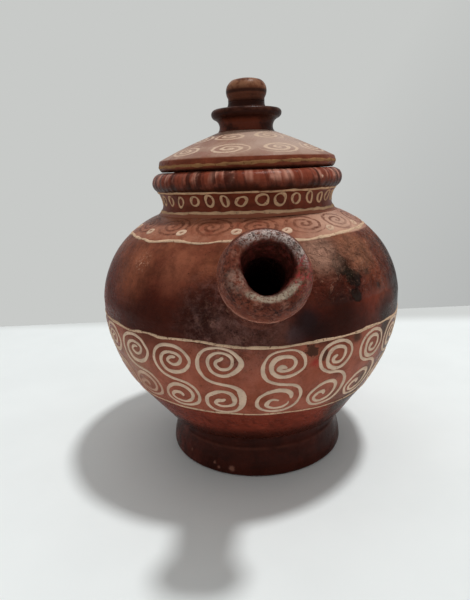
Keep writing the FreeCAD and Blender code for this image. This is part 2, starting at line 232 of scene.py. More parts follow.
def mesh_object(name, places, faces, flat=False, place=None):
    """A new object from places in millimetres."""
    mesh = bpy.data.meshes.new(name)
    mesh.from_pydata([tuple(spot * MM) for spot in places], [], faces)
    if place is not None:
        mesh.transform(place)
    mesh.validate()
    mesh.update()
    mesh.polygons.foreach_set("use_smooth", [not flat] * len(mesh.polygons))
    item = bpy.data.objects.new(name, mesh)
    bpy.context.scene.collection.objects.link(item)
    return item


def even(place, normal):
    """The unevenness of a tool, which has none."""
    return 0.0


def turned(name, points, steps, uneven=even, closed=False, leaning=True, place=None, warp=None):
    """A solid turned from an outline, its skin moved by the unevenness.

    An open outline starts and ends on the axis. A closed one goes round a ring.
    """
    if closed and math.dist(points[0], points[-1]) < TOUCHING:
        points = points[:-1]
    count = len(points)
    places = []
    rows = []
    for index, (radius, height) in enumerate(points):
        before, after = points[index - 1], points[(index + 1) % count]
        if not closed:
            before, after = points[max(index - 1, 0)], points[min(index + 1, count - 1)]
        out, up = outward(before, after)
        shift = lean(height) if leaning else NOWHERE
        row = []
        for step in range(steps if radius >= TOUCHING else 1):
            if radius < TOUCHING:
                base, normal = Vector((0, 0, height)), Vector((0, 0, up))
            else:
                base, normal = on_ring(2 * math.pi * step / steps, radius, height, out, up)
            spot = base + normal * uneven(base, normal) + shift
            row.append(len(places))
            places.append(warp(spot) if warp else spot)
        rows.append(row)
    faces = []
    pairs = list(zip(rows, rows[1:]))
    if closed:
        pairs.append((rows[-1], rows[0]))
    for low, high in pairs:
        for step in range(steps):
            after = (step + 1) % steps
            if len(low) == 1 and len(high) > 1:
                faces.append((low[0], high[after], high[step]))
            elif len(high) == 1 and len(low) > 1:
                faces.append((low[step], low[after], high[0]))
            elif len(low) > 1:
                faces.append((low[step], low[after], high[after], high[step]))
    return mesh_object(name, places, faces, place=place)


def wave(place, scale, shift=0.0):
    """Smooth noise between about -1 and 1, with features of one size in millimetres."""
    spot = (place.x / scale + shift, place.y / scale - shift, place.z / scale + shift * 0.7)
    return noise.noise(Vector(spot))


def handmade(broad, middle, turning, grain, dents=(), bias=0.0, shift=0.0):
    """Unevenness of hand-built, burnished clay. Dents are (place, radius, depth)."""

    def uneven(place, normal):
        depth = broad * wave(place, BROAD, shift) + middle * wave(place, MIDDLE, shift + 3.1) - bias
        streak = Vector((place.x / MARK_LONG, place.y / MARK_LONG, place.z / MARK_HIGH + shift))
        depth += turning * noise.noise(streak) * (1.0 - abs(normal.z) ** 2)
        depth += grain * wave(place, FINE, shift + 9.0)
        for centre, radius, amount in dents:
            gap = (place - centre).length / radius
            if gap < 1.0:
                depth += amount * (1.0 - gap * gap) ** 2
        return depth

    return uneven


def smooth_line(controls, spacing=0.55, scale=1.0, closed=False, lap=0.0):
    """Points along a curve through the controls, (angle, along, width), about one spacing apart.

    A closed curve goes on to its start, lap degrees further round.
    """
    ahead = [(angle + lap, *rest) for angle, *rest in controls[:2]]
    behind = (controls[-1][0] - lap, *controls[-1][1:])
    padded = [behind, *controls, *ahead] if closed else [controls[0], *controls, controls[-1]]
    line = []
    for p0, p1, p2, p3 in zip(padded, padded[1:], padded[2:], padded[3:]):
        gap = math.hypot((p2[0] - p1[0]) * scale, p2[1] - p1[1])
        count = max(1, round(gap / spacing))
        for t in (index / count for index in range(count)):
            line.append(tuple(
                0.5 * (2 * b + (c - a) * t + (2 * a - 5 * b + 4 * c - d) * t * t
                       + (3 * b - a - 3 * c + d) * t ** 3)
                for a, b, c, d in zip(p0, p1, p2, p3)
            ))
    if not closed:
        line.append(controls[-1])
    return line


class Strokes:
    """Brushed slip lines on a skin, gathered into one piece."""

    # The section of a stroke, as shares of its width across and millimetres off the skin
    SECTION = (
        (-0.5, -0.1), (-0.37, 0.14), (-0.13, 0.2), (0.13, 0.2),
        (0.37, 0.14), (0.5, -0.1), (0.3, -0.35), (-0.3, -0.35),
    )
    SPACING = 0.55

    def __init__(self, skin, width, lift=1.0, rough=0.16):
        self.skin = skin
        self.width = width
        self.lift = lift
        self.rough = rough
        self.places = []
        self.faces = []

    def add(self, controls, closed=False, width=None, lap=0.0):
        """One stroke through controls of angle, length along the outline and share of the width."""
        width = width or self.width
        mean = sum(control[1] for control in controls) / len(controls)
        scale = math.radians(self.skin.spot(mean)[0])
        line = smooth_line(controls, self.SPACING, scale, closed, lap)
        count = len(line)
        start = len(self.places)
        seed = rng.uniform(0, 50)
        for index, (angle, along, share) in enumerate(line):
            before = line[index - 1] if index or closed else line[index]
            after = line[(index + 1) % count] if index + 1 < count or closed else line[index]
            metric = math.radians(self.skin.spot(along)[0]) or 1e-3
            run = (((after[0] - before[0] + 180.0) % 360.0 - 180.0) * metric, after[1] - before[1])
            size = math.hypot(*run) or 1.0
            tip = 1.0 if closed else min(index, count - 1 - index) * self.SPACING / width
            wide = width * share * min(1.0, 0.45 + tip)
            wide *= 1.0 + self.rough * noise.noise(Vector((index * 0.21, seed, 0.0)))
            sway = self.rough * 0.35 * width * noise.noise(Vector((index * 0.13, seed, 7.0)))
            for cross, lift in self.SECTION:
                if abs(cross) == 0.5:
                    ragged = self.rough * 0.5 * noise.noise(Vector((index * 0.8, cross * 9.0, seed)))
                    cross += math.copysign(ragged, cross) * 0.5
                offset = cross * wide + sway
                spot_angle = angle + offset * run[1] / size / metric
                spot_along = along - offset * run[0] / size
                self.places.append(self.skin.at(spot_angle, spot_along, lift * self.lift))
        ring = len(self.SECTION)
        for index in range(count if closed else count - 1):
            low = start + index * ring
            high = start + (index + 1) % count * ring
            for side in range(ring):
                after = (side + 1) % ring
                self.faces.append((low + side, high + side, high + after, low + after))
        if not closed:
            last = start + (count - 1) * ring
            self.faces.append(tuple(start + side for side in range(ring)))
            self.faces.append(tuple(last + side for side in reversed(range(ring))))

    def piece(self, name):
        """All the strokes as one object."""
        return mesh_object(name, self.places, self.faces)


# Belly

lean_angle = math.atan((BELLY_R - KEEL_R) / (BELLY_Z - KEEL_Z)) * FLANK_LEAN
lower_bend = (BELLY_Z - KEEL_Z) * math.tan(lean_angle) - (BELLY_R - KEEL_R)
lower_bend /= 1 / math.cos(lean_angle) - 1
lower_centre = (BELLY_R - lower_bend, BELLY_Z)
spread, rise = BELLY_R - SHOULDER[0], SHOULDER[1] - BELLY_Z
upper_bend = (spread ** 2 + rise ** 2) / (2 * spread)
upper_centre = (BELLY_R - upper_bend, BELLY_Z)
keel_turn = math.cos(lean_angle) * (KEEL_R - WAIST_R) - math.sin(lean_angle) * (KEEL_Z - WAIST_Z)
keel_bend = ((KEEL_R - WAIST_R) ** 2 + (KEEL_Z - WAIST_Z) ** 2) / (2 * keel_turn)


def flank(bend):
    """Where the lower arc of the belly, of a bend, runs into its straight flank."""
    return (lower_centre[0] + bend * math.cos(lean_angle), BELLY_Z - bend * math.sin(lean_angle))


waist, keel, widest = (WAIST_R, WAIST_Z), (KEEL_R, KEEL_Z), (BELLY_R, BELLY_Z)
mouth = (MOUTH_R, SHOULDER[1])
inner_flank = flank(lower_bend - WALL)
inner_mouth_z = BELLY_Z + math.sqrt((upper_bend - WALL) ** 2 - (MOUTH_R - upper_centre[0]) ** 2)
floor_r = inner_flank[0] - math.tan(lean_angle) * (inner_flank[1] - FLOOR_Z)
outer_belly = outline(
    waist, (keel, 1.0, "bend", keel_bend), (flank(lower_bend), 1.0),
    (widest, 1.0, lower_centre), (SHOULDER, 1.0, upper_centre),
)
belly_points = outline(
    (0.0, WAIST_Z), (waist, 4.0), outer_belly, (mouth, 2.0), ((MOUTH_R, inner_mouth_z), 2.0),
    ((BELLY_R - WALL, BELLY_Z), 3.0, upper_centre), (inner_flank, 3.0, lower_centre),
    ((floor_r, FLOOR_Z), 3.0), ((0.0, FLOOR_Z), 4.0),
)
belly_dents = [
    (around(87, 76.0, 74.0), 15.0, -1.5), (around(92, 77.0, 80.0), 12.0, -0.7),
    (around(30, 71.0, 107.5), 5.5, -0.75), (around(31.5, 73.5, 101.0), 5.0, -0.6),
    (around(28, 70.0, 109.0), 2.6, -0.4), (around(32, 75.5, 95.0), 3.4, -0.4),
    (around(23.5, 66.0, 112.0), 1.5, -0.3), (around(40, 66.0, 113.5), 9.0, -0.35),
    (around(-36, 74.0, 96.0), 16.0, -0.35), (around(-62, 72.0, 100.0), 14.0, -0.3),
    (around(150, 74.0, 98.0), 18.0, -0.5), (around(210, 75.0, 70.0), 14.0, -0.4),
]
rough_belly = handmade(0.22, 0.12, 0.07, 0.03, belly_dents, bias=0.05)


def belly_uneven(place, normal):
    """Belly unevenness that never passes the widest radius."""
    depth = rough_belly(place, normal)
    room = BELLY_R - 0.22 - math.hypot(place.x, place.y)
    out = math.hypot(normal.x, normal.y)
    return min(depth, room / out) if out > 0.3 else depth


belly_skin = Skin(outer_belly, belly_uneven)
belly = turned("belly", belly_points, 480, belly_uneven)

# The spout's axis, from its mouth down into the vessel
tilt = math.radians(SPOUT_TILT)
axis = Vector((0, math.cos(tilt), -math.sin(tilt)))
across = Vector((1, 0, 0))
upward = axis.cross(across)
spout_place = Matrix((across, upward, axis)).transposed().to_4x4()
spout_place.translation = SPOUT_MOUTH * MM

# The bore through the belly's wall
tool_r = BORE_R + BORE_ROOM
tool_points = [(0.0, 24.0), (tool_r, 24.0), (tool_r, 52.0), (0.0, 52.0)]
bore = turned("bore_tool", tool_points, 64, leaning=False, place=spout_place)
cut = belly.modifiers.new("bore", "BOOLEAN")
cut.operation = "DIFFERENCE"
cut.solver = "EXACT"
cut.object = bore
bpy.context.view_layer.update()
pierced = bpy.data.meshes.new_from_object(belly.evaluated_get(bpy.context.evaluated_depsgraph_get()))
belly.modifiers.remove(cut)
belly.data = pierced
bpy.data.objects.remove(bore)

# Foot, neck and rolled rim

foot_edge = (FOOT_BASE_R, FOOT_EDGE_R)
foot_outer = outline(
    (FOOT_BASE_R - FOOT_EDGE_R, 0.0), (foot_edge, 0.6, "height", FOOT_EDGE_R),
    (FOOT_RIM, 1.0, "bend", FOOT_BEND), (waist, 0.7, "height", WAIST_Z),
)
foot_points = outline(
    (HOLLOW_R, 0.0), (foot_outer[0], 2.0), foot_outer, ((HOLLOW_TOP_R, WAIST_Z), 3.0), ((HOLLOW_R, 0.0), 2.0),
)
rough_foot = handmade(0.25, 0.16, 0.06, 0.03, [(around(-32, 46.5, 5.0), 4.0, -0.3)], shift=5.0)


def foot_uneven(place, normal):
    """Foot unevenness, with a raised upper edge and a flat base."""
    if place.z < 1.2 and normal.z < -0.5:
        return 0.0
    depth = rough_foot(place, normal)
    if math.hypot(place.x, place.y) > 40.0:
        edge = math.exp(-((place.z - FOOT_RIM[1] + 0.3) / 0.7) ** 2)
        depth += 0.35 * edge * (0.7 + 0.5 * wave(place, 7.0, 2.0))
    return depth


foot = turned("foot", foot_points, 320, foot_uneven, closed=True)

neck_top = (ROLL[0] + math.sqrt(ROLL_R ** 2 - (ROLL[1] - NECK_TOP_Z) ** 2), NECK_TOP_Z)
neck_inner_top = (MOUTH_R, NECK_TOP_Z)
neck_outer = outline(
    SHOULDER, (NECK_WAIST, 0.6, "height", NECK_WAIST[1]), (neck_top, 0.6, "height", NECK_WAIST[1]),
)
neck_points = outline(mouth, (SHOULDER, 2.0), neck_outer, (neck_inner_top, 2.0), (mouth, 2.0))
neck_uneven = handmade(0.18, 0.1, 0.05, 0.03, shift=8.0)
neck_skin = Skin(neck_outer, neck_uneven)
neck = turned("neck", neck_points, 320, neck_uneven, closed=True)

roll_outer = [neck_top, *curve(neck_top, (MOUTH_R, ROLL[1]), ROLL, 0.6, long_way=True)]
roll_points = outline(neck_inner_top, (neck_top, 2.0), roll_outer, (neck_inner_top, 2.0))
rough_roll = handmade(0.2, 0.16, 0.03, 0.04, shift=13.0)


def roll_uneven(place, normal):
    """Roll unevenness: pinched in shallow flutes, and flat under the lid."""
    turn = math.atan2(place.x, -place.y)
    flute = math.sin(turn * 71 + 4.8 * wave(place, 9.0, 4.0))
    facing = max(0.0, normal.x * math.sin(turn) - normal.y * math.cos(turn))
    depth = rough_roll(place, normal) + 0.11 * flute * facing
    return min(depth, 0.05) if normal.z > 0.75 else depth


roll = turned("roll", roll_points, 480, roll_uneven, closed=True)

# Spout

throat, crest = (BORE_R + 1.4, 4.0), (11.9, 0.0)
lip_front, lip_side, lip_back = (14.6, 2.6), (16.4, 8.6), (12.0, 15.0)
flare_start, flare_end = (12.5, 28.7), (17.4, 41.2)
spout_points = outline(
    crest, (lip_front, 0.5, "radius", crest[0]), (lip_side, 0.5, "height", lip_side[1]),
    (lip_back, 0.5, "height", lip_side[1]), (flare_start, 0.8), (flare_end, 0.6, "height", flare_start[1]),
    ((BORE_R, 44.0), 2.0), ((BORE_R, 12.0), 1.6), (throat, 0.6), (crest, 0.4, "height", throat[1]),
)
rough_spout = handmade(0.22, 0.2, 0.0, 0.06, [
    (Vector((3.0, 13.0, 4.0)), 5.0, -0.35), (Vector((-9.0, 11.0, 3.0)), 5.0, -0.3),
    (Vector((13.0, -6.0, 5.0)), 6.0, -0.3), (Vector((-8.6, -7.4, 1.2)), 3.4, -0.9),
    (Vector((-6.0, 10.5, 1.5)), 2.6, -0.5), (Vector((6.5, 10.5, 1.5)), 3.0, -0.45),
], shift=21.0)


def spout_uneven(place, normal):
    """Spout unevenness in its own frame, held back at the crest, with a chipped inner edge."""
    depth = rough_spout(place, normal)
    if place.z < 7.0 and math.hypot(place.x, place.y) < 14.5:
        depth += 0.2 * wave(place, 2.6, 5.0) + 0.13 * wave(place, 1.2, 2.0) - 0.2
    return min(depth, 0.0) if normal.z < -0.3 else depth


def pinched(place):
    """The mouth's hole sits high and a little to the right, and is drawn to a rounded corner below."""
    radius = math.hypot(place.x, place.y)
    weight = smooth(radius, 14.6, 10.6) * smooth(place.z, 17.0, 8.0)
    if weight <= 0.0 or radius < TOUCHING:
        return place
    turn = math.atan2(place.x, place.y)
    draw = 1.0 + 0.055 * weight * math.cos(3 * turn + 0.25)
    return Vector((place.x * draw + 0.5 * weight, place.y * draw - 1.25 * weight, place.z))


spout = turned(
    "spout", spout_points, 256, spout_uneven, closed=True, leaning=False, place=spout_place, warp=pinched,
)

# Lid and knob

flange_r, flange_bore_r = MOUTH_R - 1.2, MOUTH_R - 5.0
lid_base, lid_side = (LID_BASE_R, LID_Z), (LID_EDGE_R, LID_Z + 2.9)
lid_shoulder = (LID_SHOULDER_R, LID_Z + 5.5)
slope = math.dist(lid_shoulder, LID_TOP)
crown_bend = (slope ** 2 / 4 + LID_CROWN ** 2) / (2 * LID_CROWN)
lid_rim_points = outline(
    lid_base, (lid_side, 0.5, "height", lid_side[1]), (lid_shoulder, 0.4, "height", lid_side[1]),
)
lid_top_points = outline(lid_shoulder, (LID_TOP, 0.8, "bend", crown_bend))
slope_gain = (LID_TOP[1] - lid_shoulder[1]) / (lid_shoulder[0] - LID_TOP[0])
hollow_edge = (flange_bore_r, lid_shoulder[1] + slope_gain * (lid_shoulder[0] - flange_bore_r) - 5.0)
lid_points = outline(
    (0.0, LID_HOLLOW_Z), ((10.0, LID_HOLLOW_Z), 2.5), (hollow_edge, 2.0),
    ((flange_bore_r + 0.6, LID_FLANGE_Z), 1.5), ((flange_r - 0.6, LID_FLANGE_Z), 1.2),
    ((flange_r, LID_Z), 1.5), (lid_base, 1.2), lid_rim_points, lid_top_points, ((0.0, LID_TOP[1]), 2.4),
)
rough_lid = handmade(0.22, 0.12, 0.05, 0.03, [
    (around(-25, 45.0, 152.8), 3.0, -0.35), (around(-8, 45.0, 152.9), 2.2, -0.3),
    (around(38, 45.0, 152.6), 3.2, -0.3), (around(60, 45.0, 148.0), 3.0, -0.4),
    (around(-40, 44.0, 148.0), 4.0, -0.3),
], shift=30.0)


def lid_uneven(place, normal):
    """Lid unevenness that keeps clear of the roll and the mouth."""
    depth = rough_lid(place, normal)
    on_flange = math.hypot(place.x, place.y) < flange_r + 1.0 and place.z < LID_Z + 0.5
    return min(depth, 0.0) if normal.z < -0.4 or on_flange else depth


rim_skin = Skin(lid_rim_points, lid_uneven)
lid = turned("lid", lid_points, 360, lid_uneven)

knob_uneven = handmade(0.14, 0.1, 0.05, 0.03, shift=41.0)
z0 = LID_TOP[1]
stem = (13.5, z0 + 2.6)
under, side, upper, cup = (16.3, z0 + 6.5), (17.7, z0 + 8.8), (16.3, z0 + 10.7), (9.1, z0 + 14.1)
collar_points = outline(
    (0.0, z0), (LID_TOP, 2.4), (stem, 0.5, "height", stem[1]), (under, 0.5, "height", stem[1]),
    (side, 0.4, "height", side[1]), (upper, 0.4, "height", side[1]), (cup, 0.5, "height", cup[1]),
    ((0.0, cup[1]), 2.0),
)
collar = turned("collar", collar_points, 180, knob_uneven)

z1 = cup[1]
bead_neck, bead_side, crown, top = (9.1, z1 + 1.9), (10.1, z1 + 5.3), (7.2, z1 + 10.2), (0.0, z1 + 11.3)
bead_points = outline(
    (0.0, z1), (cup, 2.0), (bead_neck, 0.5), (bead_side, 0.5, "height", bead_side[1]),
    (crown, 0.5, "height", bead_side[1]), (top, 0.5, "radius", 0.0),
)


def bead_uneven(place, normal):
    """Bead unevenness that never raises its crown."""
    depth = knob_uneven(place, normal)
    return min(depth, 0.0) if normal.z > 0.5 else depth


bead = turned("bead", bead_points, 150, bead_uneven)

# Painted slip

# Scrolls of the belly band, as angle, height and share of the brush's width
SCROLL_A = [
    (-27.9, 72.4), (-29.8, 72.2), (-31.1, 70.4), (-29.4, 68.7), (-27.1, 69.5), (-26.1, 72.1), (-27.5, 74.0),
    (-30.2, 74.5), (-32.6, 73.2), (-33.8, 70.4, 1.15), (-33.3, 67.3, 1.2), (-31.7, 65.2, 1.2),
    (-28.7, 64.9, 1.2), (-25.8, 66.2, 1.15), (-23.8, 68.7), (-23.0, 71.5), (-24.2, 74.6), (-26.2, 76.8),
    (-29.2, 77.7), (-32.5, 77.2), (-35.0, 75.4), (-36.3, 72.6), (-36.8, 69.3), (-36.0, 65.9), (-34.2, 63.2),
    (-31.3, 61.5), (-28.3, 60.7), (-25.4, 59.6), (-23.1, 56.8), (-22.3, 53.4), (-23.1, 49.8), (-25.4, 47.4),
    (-28.5, 46.0), (-32.0, 45.7), (-35.0, 47.3), (-36.3, 50.1), (-35.4, 53.6), (-32.9, 56.8, 1.15),
    (-29.6, 58.3, 1.25), (-26.7, 57.2, 1.2), (-25.0, 54.6, 1.2), (-25.2, 51.6), (-27.1, 49.1),
    (-30.0, 47.9), (-32.8, 48.6), (-34.1, 50.8), (-32.1, 53.1, 1.3), (-29.7, 53.2, 1.3), (-29.2, 51.4),
]
SCROLL_B = [
    (-11.9, 74.0), (-12.8, 72.9), (-14.2, 71.9, 1.1), (-14.4, 70.1), (-12.9, 68.4), (-10.6, 68.7),
    (-9.2, 70.9), (-9.4, 74.0), (-11.7, 75.9, 0.85), (-14.4, 75.7, 0.9), (-16.5, 73.4), (-16.9, 70.1),
    (-15.8, 66.8), (-12.9, 65.0), (-10.0, 65.9, 1.1), (-7.5, 68.4, 1.3), (-6.3, 71.6, 1.4),
    (-7.9, 75.1, 1.1), (-10.4, 77.5, 0.9), (-13.8, 78.2, 0.8), (-17.1, 77.4, 0.9), (-19.4, 74.8),
    (-20.4, 70.9, 1.15), (-20.2, 67.3, 1.1), (-18.8, 63.8), (-16.3, 61.6), (-12.9, 60.5),
    (-10.0, 59.7, 1.15), (-7.8, 58.0, 1.5), (-6.8, 55.1, 1.75), (-6.8, 51.2, 1.65), (-7.9, 47.6, 1.3),
    (-10.0, 45.3), (-13.3, 44.4, 0.9), (-17.1, 44.9, 0.9), (-19.4, 46.9, 1.1), (-19.9, 50.1, 1.1),
    (-19.0, 53.6, 1.15), (-16.3, 55.8, 1.2), (-13.3, 56.7, 1.1), (-10.8, 55.8, 1.2), (-9.6, 52.9, 1.3),
    (-10.0, 49.9, 1.2), (-12.1, 48.3), (-15.0, 48.2), (-16.7, 49.7, 1.1), (-15.6, 51.3, 1.3),
    (-13.8, 51.7, 1.2), (-12.8, 52.6, 1.0),
]
SCROLL_C = [
    (7.8, 68.1, 0.9), (6.3, 68.9, 1.25), (5.1, 67.7, 1.2), (6.9, 66.8), (9.4, 67.7), (10.5, 70.4),
    (9.4, 72.9), (6.9, 73.5, 1.15), (4.4, 72.6, 1.3), (3.0, 70.1, 1.3), (3.1, 66.8, 1.2), (4.8, 64.5, 1.2),
    (7.7, 63.9, 1.1), (10.8, 65.1), (13.2, 67.3, 0.8), (13.7, 70.4), (12.9, 73.4, 1.1), (11.0, 75.6, 0.8),
    (7.9, 76.4, 0.75), (4.6, 75.9, 0.75), (2.1, 74.2, 0.75), (0.7, 71.2, 0.9), (0.2, 67.9, 1.15),
    (0.6, 64.8, 1.2), (2.1, 62.2), (5.0, 60.5), (7.9, 59.8), (10.4, 59.2), (12.5, 57.5), (13.6, 54.3),
    (13.4, 50.7, 0.9), (12.0, 47.7), (9.6, 45.8), (6.3, 44.8), (2.5, 45.0, 0.9), (-0.2, 46.3),
    (-1.7, 48.4, 1.1), (-1.8, 51.0, 1.1), (-0.9, 53.4), (0.5, 54.9), (2.5, 56.2, 1.2), (5.4, 57.0, 1.3),
    (8.2, 56.4, 1.4), (9.9, 54.6, 1.3), (10.3, 51.8, 1.0),
]
SCROLL_C_HEART = [
    (9.6, 50.2, 0.6), (9.3, 48.7, 0.7), (7.1, 47.1, 0.9), (4.0, 46.8, 0.9), (1.7, 48.2, 1.2),
    (2.2, 50.6, 1.2), (3.8, 51.9), (6.0, 51.2, 0.8),
]
SCROLL_D = [
    (25.2, 70.7, 1.1), (23.8, 69.4, 1.2), (24.3, 67.4), (26.7, 67.2), (28.2, 69.6), (28.1, 72.9),
    (25.8, 74.4, 1.1), (23.3, 74.0, 1.2), (21.8, 71.8, 1.2), (21.6, 68.4, 1.2), (22.8, 65.5, 1.2),
    (25.4, 64.1, 1.2), (28.3, 64.7, 1.1), (30.3, 67.3), (31.2, 70.7, 0.9), (30.4, 74.0, 0.9), (28.3, 76.2),
    (25.4, 77.1), (22.5, 76.5), (20.0, 74.6), (18.8, 71.2), (19.0, 67.9), (20.4, 64.8), (23.3, 62.7),
    (26.3, 62.0), (28.8, 60.9), (30.6, 58.4, 1.1), (31.5, 55.1, 1.25), (31.2, 51.2, 1.2), (29.8, 47.9),
    (27.1, 45.7), (23.3, 44.8), (19.6, 45.5), (17.6, 47.9), (17.0, 50.7), (17.9, 53.4), (20.4, 56.2, 1.1),
    (23.3, 57.5, 1.2), (26.0, 57.0, 1.2), (27.7, 54.6, 1.15), (27.7, 51.2), (26.3, 48.4), (23.3, 46.9),
    (20.6, 47.4), (19.5, 49.6), (20.8, 51.9, 1.2), (22.8, 52.2, 1.2), (23.4, 50.4),
]
SCROLL_PITCH = 16.0


def bl(height):
    """Length along the belly's outline at a height."""
    return belly_skin.along_height(height)


def moved(controls, turn, rise=0.0, stir=0.0):
    """The same controls further round the pot."""
    return [
        (
            control[0] + turn + rng.uniform(-stir, stir) * 0.75,
            control[1] + rise + rng.uniform(-stir, stir),
            control[2] if len(control) > 2 else 1.0,
        )
        for control in controls
    ]


def on_belly(controls):
    """Controls with heights turned into lengths along the belly's outline."""
    return [(control[0], bl(control[1]), control[2] if len(control) > 2 else 1.0) for control in controls]


scrolls = Strokes(belly_skin, 1.62, rough=0.22)
front_scrolls = [
    moved(SCROLL_A, -32.4, 1.6, 0.1), moved(SCROLL_A, -16.3, 1.2, 0.1), SCROLL_A, SCROLL_B,
    SCROLL_C, SCROLL_C_HEART, SCROLL_D, moved(SCROLL_D, 16.8, 0.2, 0.1),
]
for controls in front_scrolls:
    scrolls.add([(angle, along, share ** 1.5) for angle, along, share in on_belly(controls)])
for index in range(1, 16):
    template, middle = rng.choice(((SCROLL_A, -29.6), (SCROLL_B, -13.4), (SCROLL_D, 25.0)))
    turn = 41.8 + SCROLL_PITCH * index - middle
    scrolls.add(on_belly(moved(template, turn, rng.uniform(-0.4, 0.6), 0.14)))
scrolls = scrolls.piece("band_scrolls")


def ring_line(keys):
    """Controls every few degrees round the pot from a few keys of angle and height."""
    keys = sorted(keys)
    keys.append((keys[0][0] + 360, keys[0][1]))
    controls = []
    for low, high in zip(keys, keys[1:]):
        count = max(1, round((high[0] - low[0]) / 4.0))
        for share in (index / count for index in range(count)):
            height = low[1] + (high[1] - low[1]) * smooth(share, 0.0, 1.0) + rng.uniform(-0.16, 0.16)
            controls.append((low[0] + (high[0] - low[0]) * share, height, rng.uniform(0.62, 1.25)))
    return controls


lines = Strokes(belly_skin, 1.25, rough=0.3)
upper_line = ring_line([
    (-180, 79.8), (-120, 80.4), (-60, 81.2), (-47, 80.5), (-39, 81.3), (-33, 80.4), (-24, 80.7), (-17, 80.5),
    (-11, 79.1), (-5, 78.3), (1, 78.0), (6, 77.9), (12, 78.5), (20, 78.8), (30, 78.7), (42, 79.4), (50, 78.9),
    (58, 78.2), (80, 79.0), (120, 79.8),
])
lower_line = ring_line([
    (-180, 43.4), (-100, 43.0), (-60, 43.4), (-40, 43.8), (-28, 43.4), (-10, 43.2), (3, 43.0), (12, 42.7),
    (22, 42.0), (32, 42.0), (60, 42.6), (120, 43.2),
])
shoulder_line = ring_line([
    (-180, 118.8), (-120, 118.4), (-70, 118.9), (-58, 118.4), (-46, 117.9), (-36, 118.8), (-24, 118.2),
    (-15, 118.9), (0, 119.4), (15, 118.3), (22, 118.2), (32, 118.6), (45, 119.3), (56, 119.6), (66, 120.0),
    (90, 119.2), (130, 118.4),
])
for keys, width in ((upper_line, 1.35), (lower_line, 1.2), (shoulder_line, 1.6)):
    lines.add(on_belly(keys), closed=True, width=width, lap=360.0)
lines = lines.piece("belly_lines")

neck_lines = Strokes(neck_skin, 1.25, rough=0.3)
low_neck = ring_line([
    (-180, 129.2), (-120, 128.8), (-75, 128.6), (-55, 128.7), (-44, 129.0), (-34, 129.2), (0, 129.3),
    (30, 129.0), (60, 128.7), (120, 129.0),
])
high_neck = ring_line([
    (-180, 137.7), (-70, 137.9), (-40, 138.0), (-10, 138.0), (20, 137.9), (45, 137.9), (90, 137.6),
])
for keys, width in ((low_neck, 1.5), (high_neck, 1.35)):
    keys = [(angle, neck_skin.along_height(height), share) for angle, height, share in keys]
    neck_lines.add(keys, closed=True, width=width, lap=360.0)

# Rings of the neck, as angle and half sizes in millimetres
NECK_RINGS = [
    (-68.5, 2.0, 2.2), (-58, 1.9, 2.2), (-47.3, 1.8, 2.3), (-35.7, 2.2, 2.1), (-25.4, 1.9, 2.5),
    (-16, 1.5, 2.4), (-6.4, 2.3, 2.0), (5.8, 2.8, 2.4), (16.6, 2.5, 2.6), (27, 2.1, 2.3),
    (37.4, 1.8, 2.5), (47.5, 1.7, 2.2),
]
NECK_RING_Z = 134.25
ring_first, ring_last = NECK_RINGS[0][0], NECK_RINGS[-1][0]
ring_pitch = (360 - (ring_last - ring_first)) / 24
NECK_RINGS += [
    (ring_last + ring_pitch * index, rng.uniform(1.7, 2.6), rng.uniform(2.0, 2.5)) for index in range(1, 24)
]
neck_degree = math.radians(43.8)
for angle, wide, tall in NECK_RINGS:
    middle = NECK_RING_Z + rng.uniform(-0.25, 0.3)
    tip = rng.uniform(0, 360)
    skew = rng.uniform(-0.25, 0.25)
    controls = []
    for corner in range(8):
        turn = math.radians(corner * 45 + tip)
        beside = wide * math.cos(turn) * rng.uniform(0.93, 1.07) + skew * tall * math.sin(turn)
        along = neck_skin.along_height(middle + tall * math.sin(turn) * rng.uniform(0.93, 1.07))
        share = 1.0 + 0.35 * math.cos(turn * 2 + tip) + rng.uniform(-0.15, 0.15)
        controls.append((angle + beside / neck_degree, along, share))
    neck_lines.add(controls, closed=True, width=1.15)
neck_lines = neck_lines.piece("neck_rings")

# Dots of the shoulder, the first six where the photograph shows them
DOT_ANGLES = (-55.5, -34.0, -8.2, 14.0, 36.0, 59.0)
DOT_RISES = (45.4, 45.9, 47.0, 46.4, 45.2, 45.6)
DOT_PITCH = 22.2
dots = Strokes(belly_skin, 1.55, rough=0.35)
for index in range(16):
    centre = DOT_ANGLES[index] if index < 6 else DOT_ANGLES[-1] + DOT_PITCH * (index - 5)
    middle = bl(BELLY_Z) + DOT_RISES[index % 6]
    controls = []
    for corner in range(6):
        turn = math.radians(corner * 60 + 25)
        along = middle + (1.25 * math.sin(turn) + 0.4 * math.cos(turn))
        controls.append((centre + 1.75 * math.cos(turn), along, rng.uniform(0.9, 1.3)))
    dots.add(controls, closed=True)
dots = dots.piece("shoulder_dots")

ochre = Strokes(rim_skin, 1.5, lift=0.7, rough=0.35)
rim_keys = [(-180, 3.2), (-90, 3.0), (-40, 2.9), (-20, 3.0), (0, 3.3), (20, 3.5), (50, 3.6), (110, 3.3)]
ochre.add(ring_line(rim_keys), closed=True, lap=360.0)
ochre = ochre.piece("lid_rim_line")

# Materials

# Colours as they look on screen
CREAM = (218, 190, 166)
BRICK = (166, 97, 78)
SOOT = (38, 32, 26)
INK = (36, 28, 30)

# Sizes of the noises that the edges of stains wander by
SWING_SIZES = (2.7, 4.0, 6.5, 10.0)


def tone(colour):
    """A colour given as it looks on screen, (red, green, blue), as linear light."""
    parts = (part / 255 for part in colour)
    return (*(part / 12.92 if part <= 0.04045 else ((part + 0.055) / 1.055) ** 2.4 for part in parts), 1.0)


def feed(tree, value, target):
    """Join a value to an input, or write a plain one."""
    value = getattr(value, "socket", value)
    if isinstance(value, bpy.types.NodeSocket):
        tree.links.new(value, target)
    else:
        target.default_value = tone(value) if target.type == "RGBA" and len(value) == 3 else value


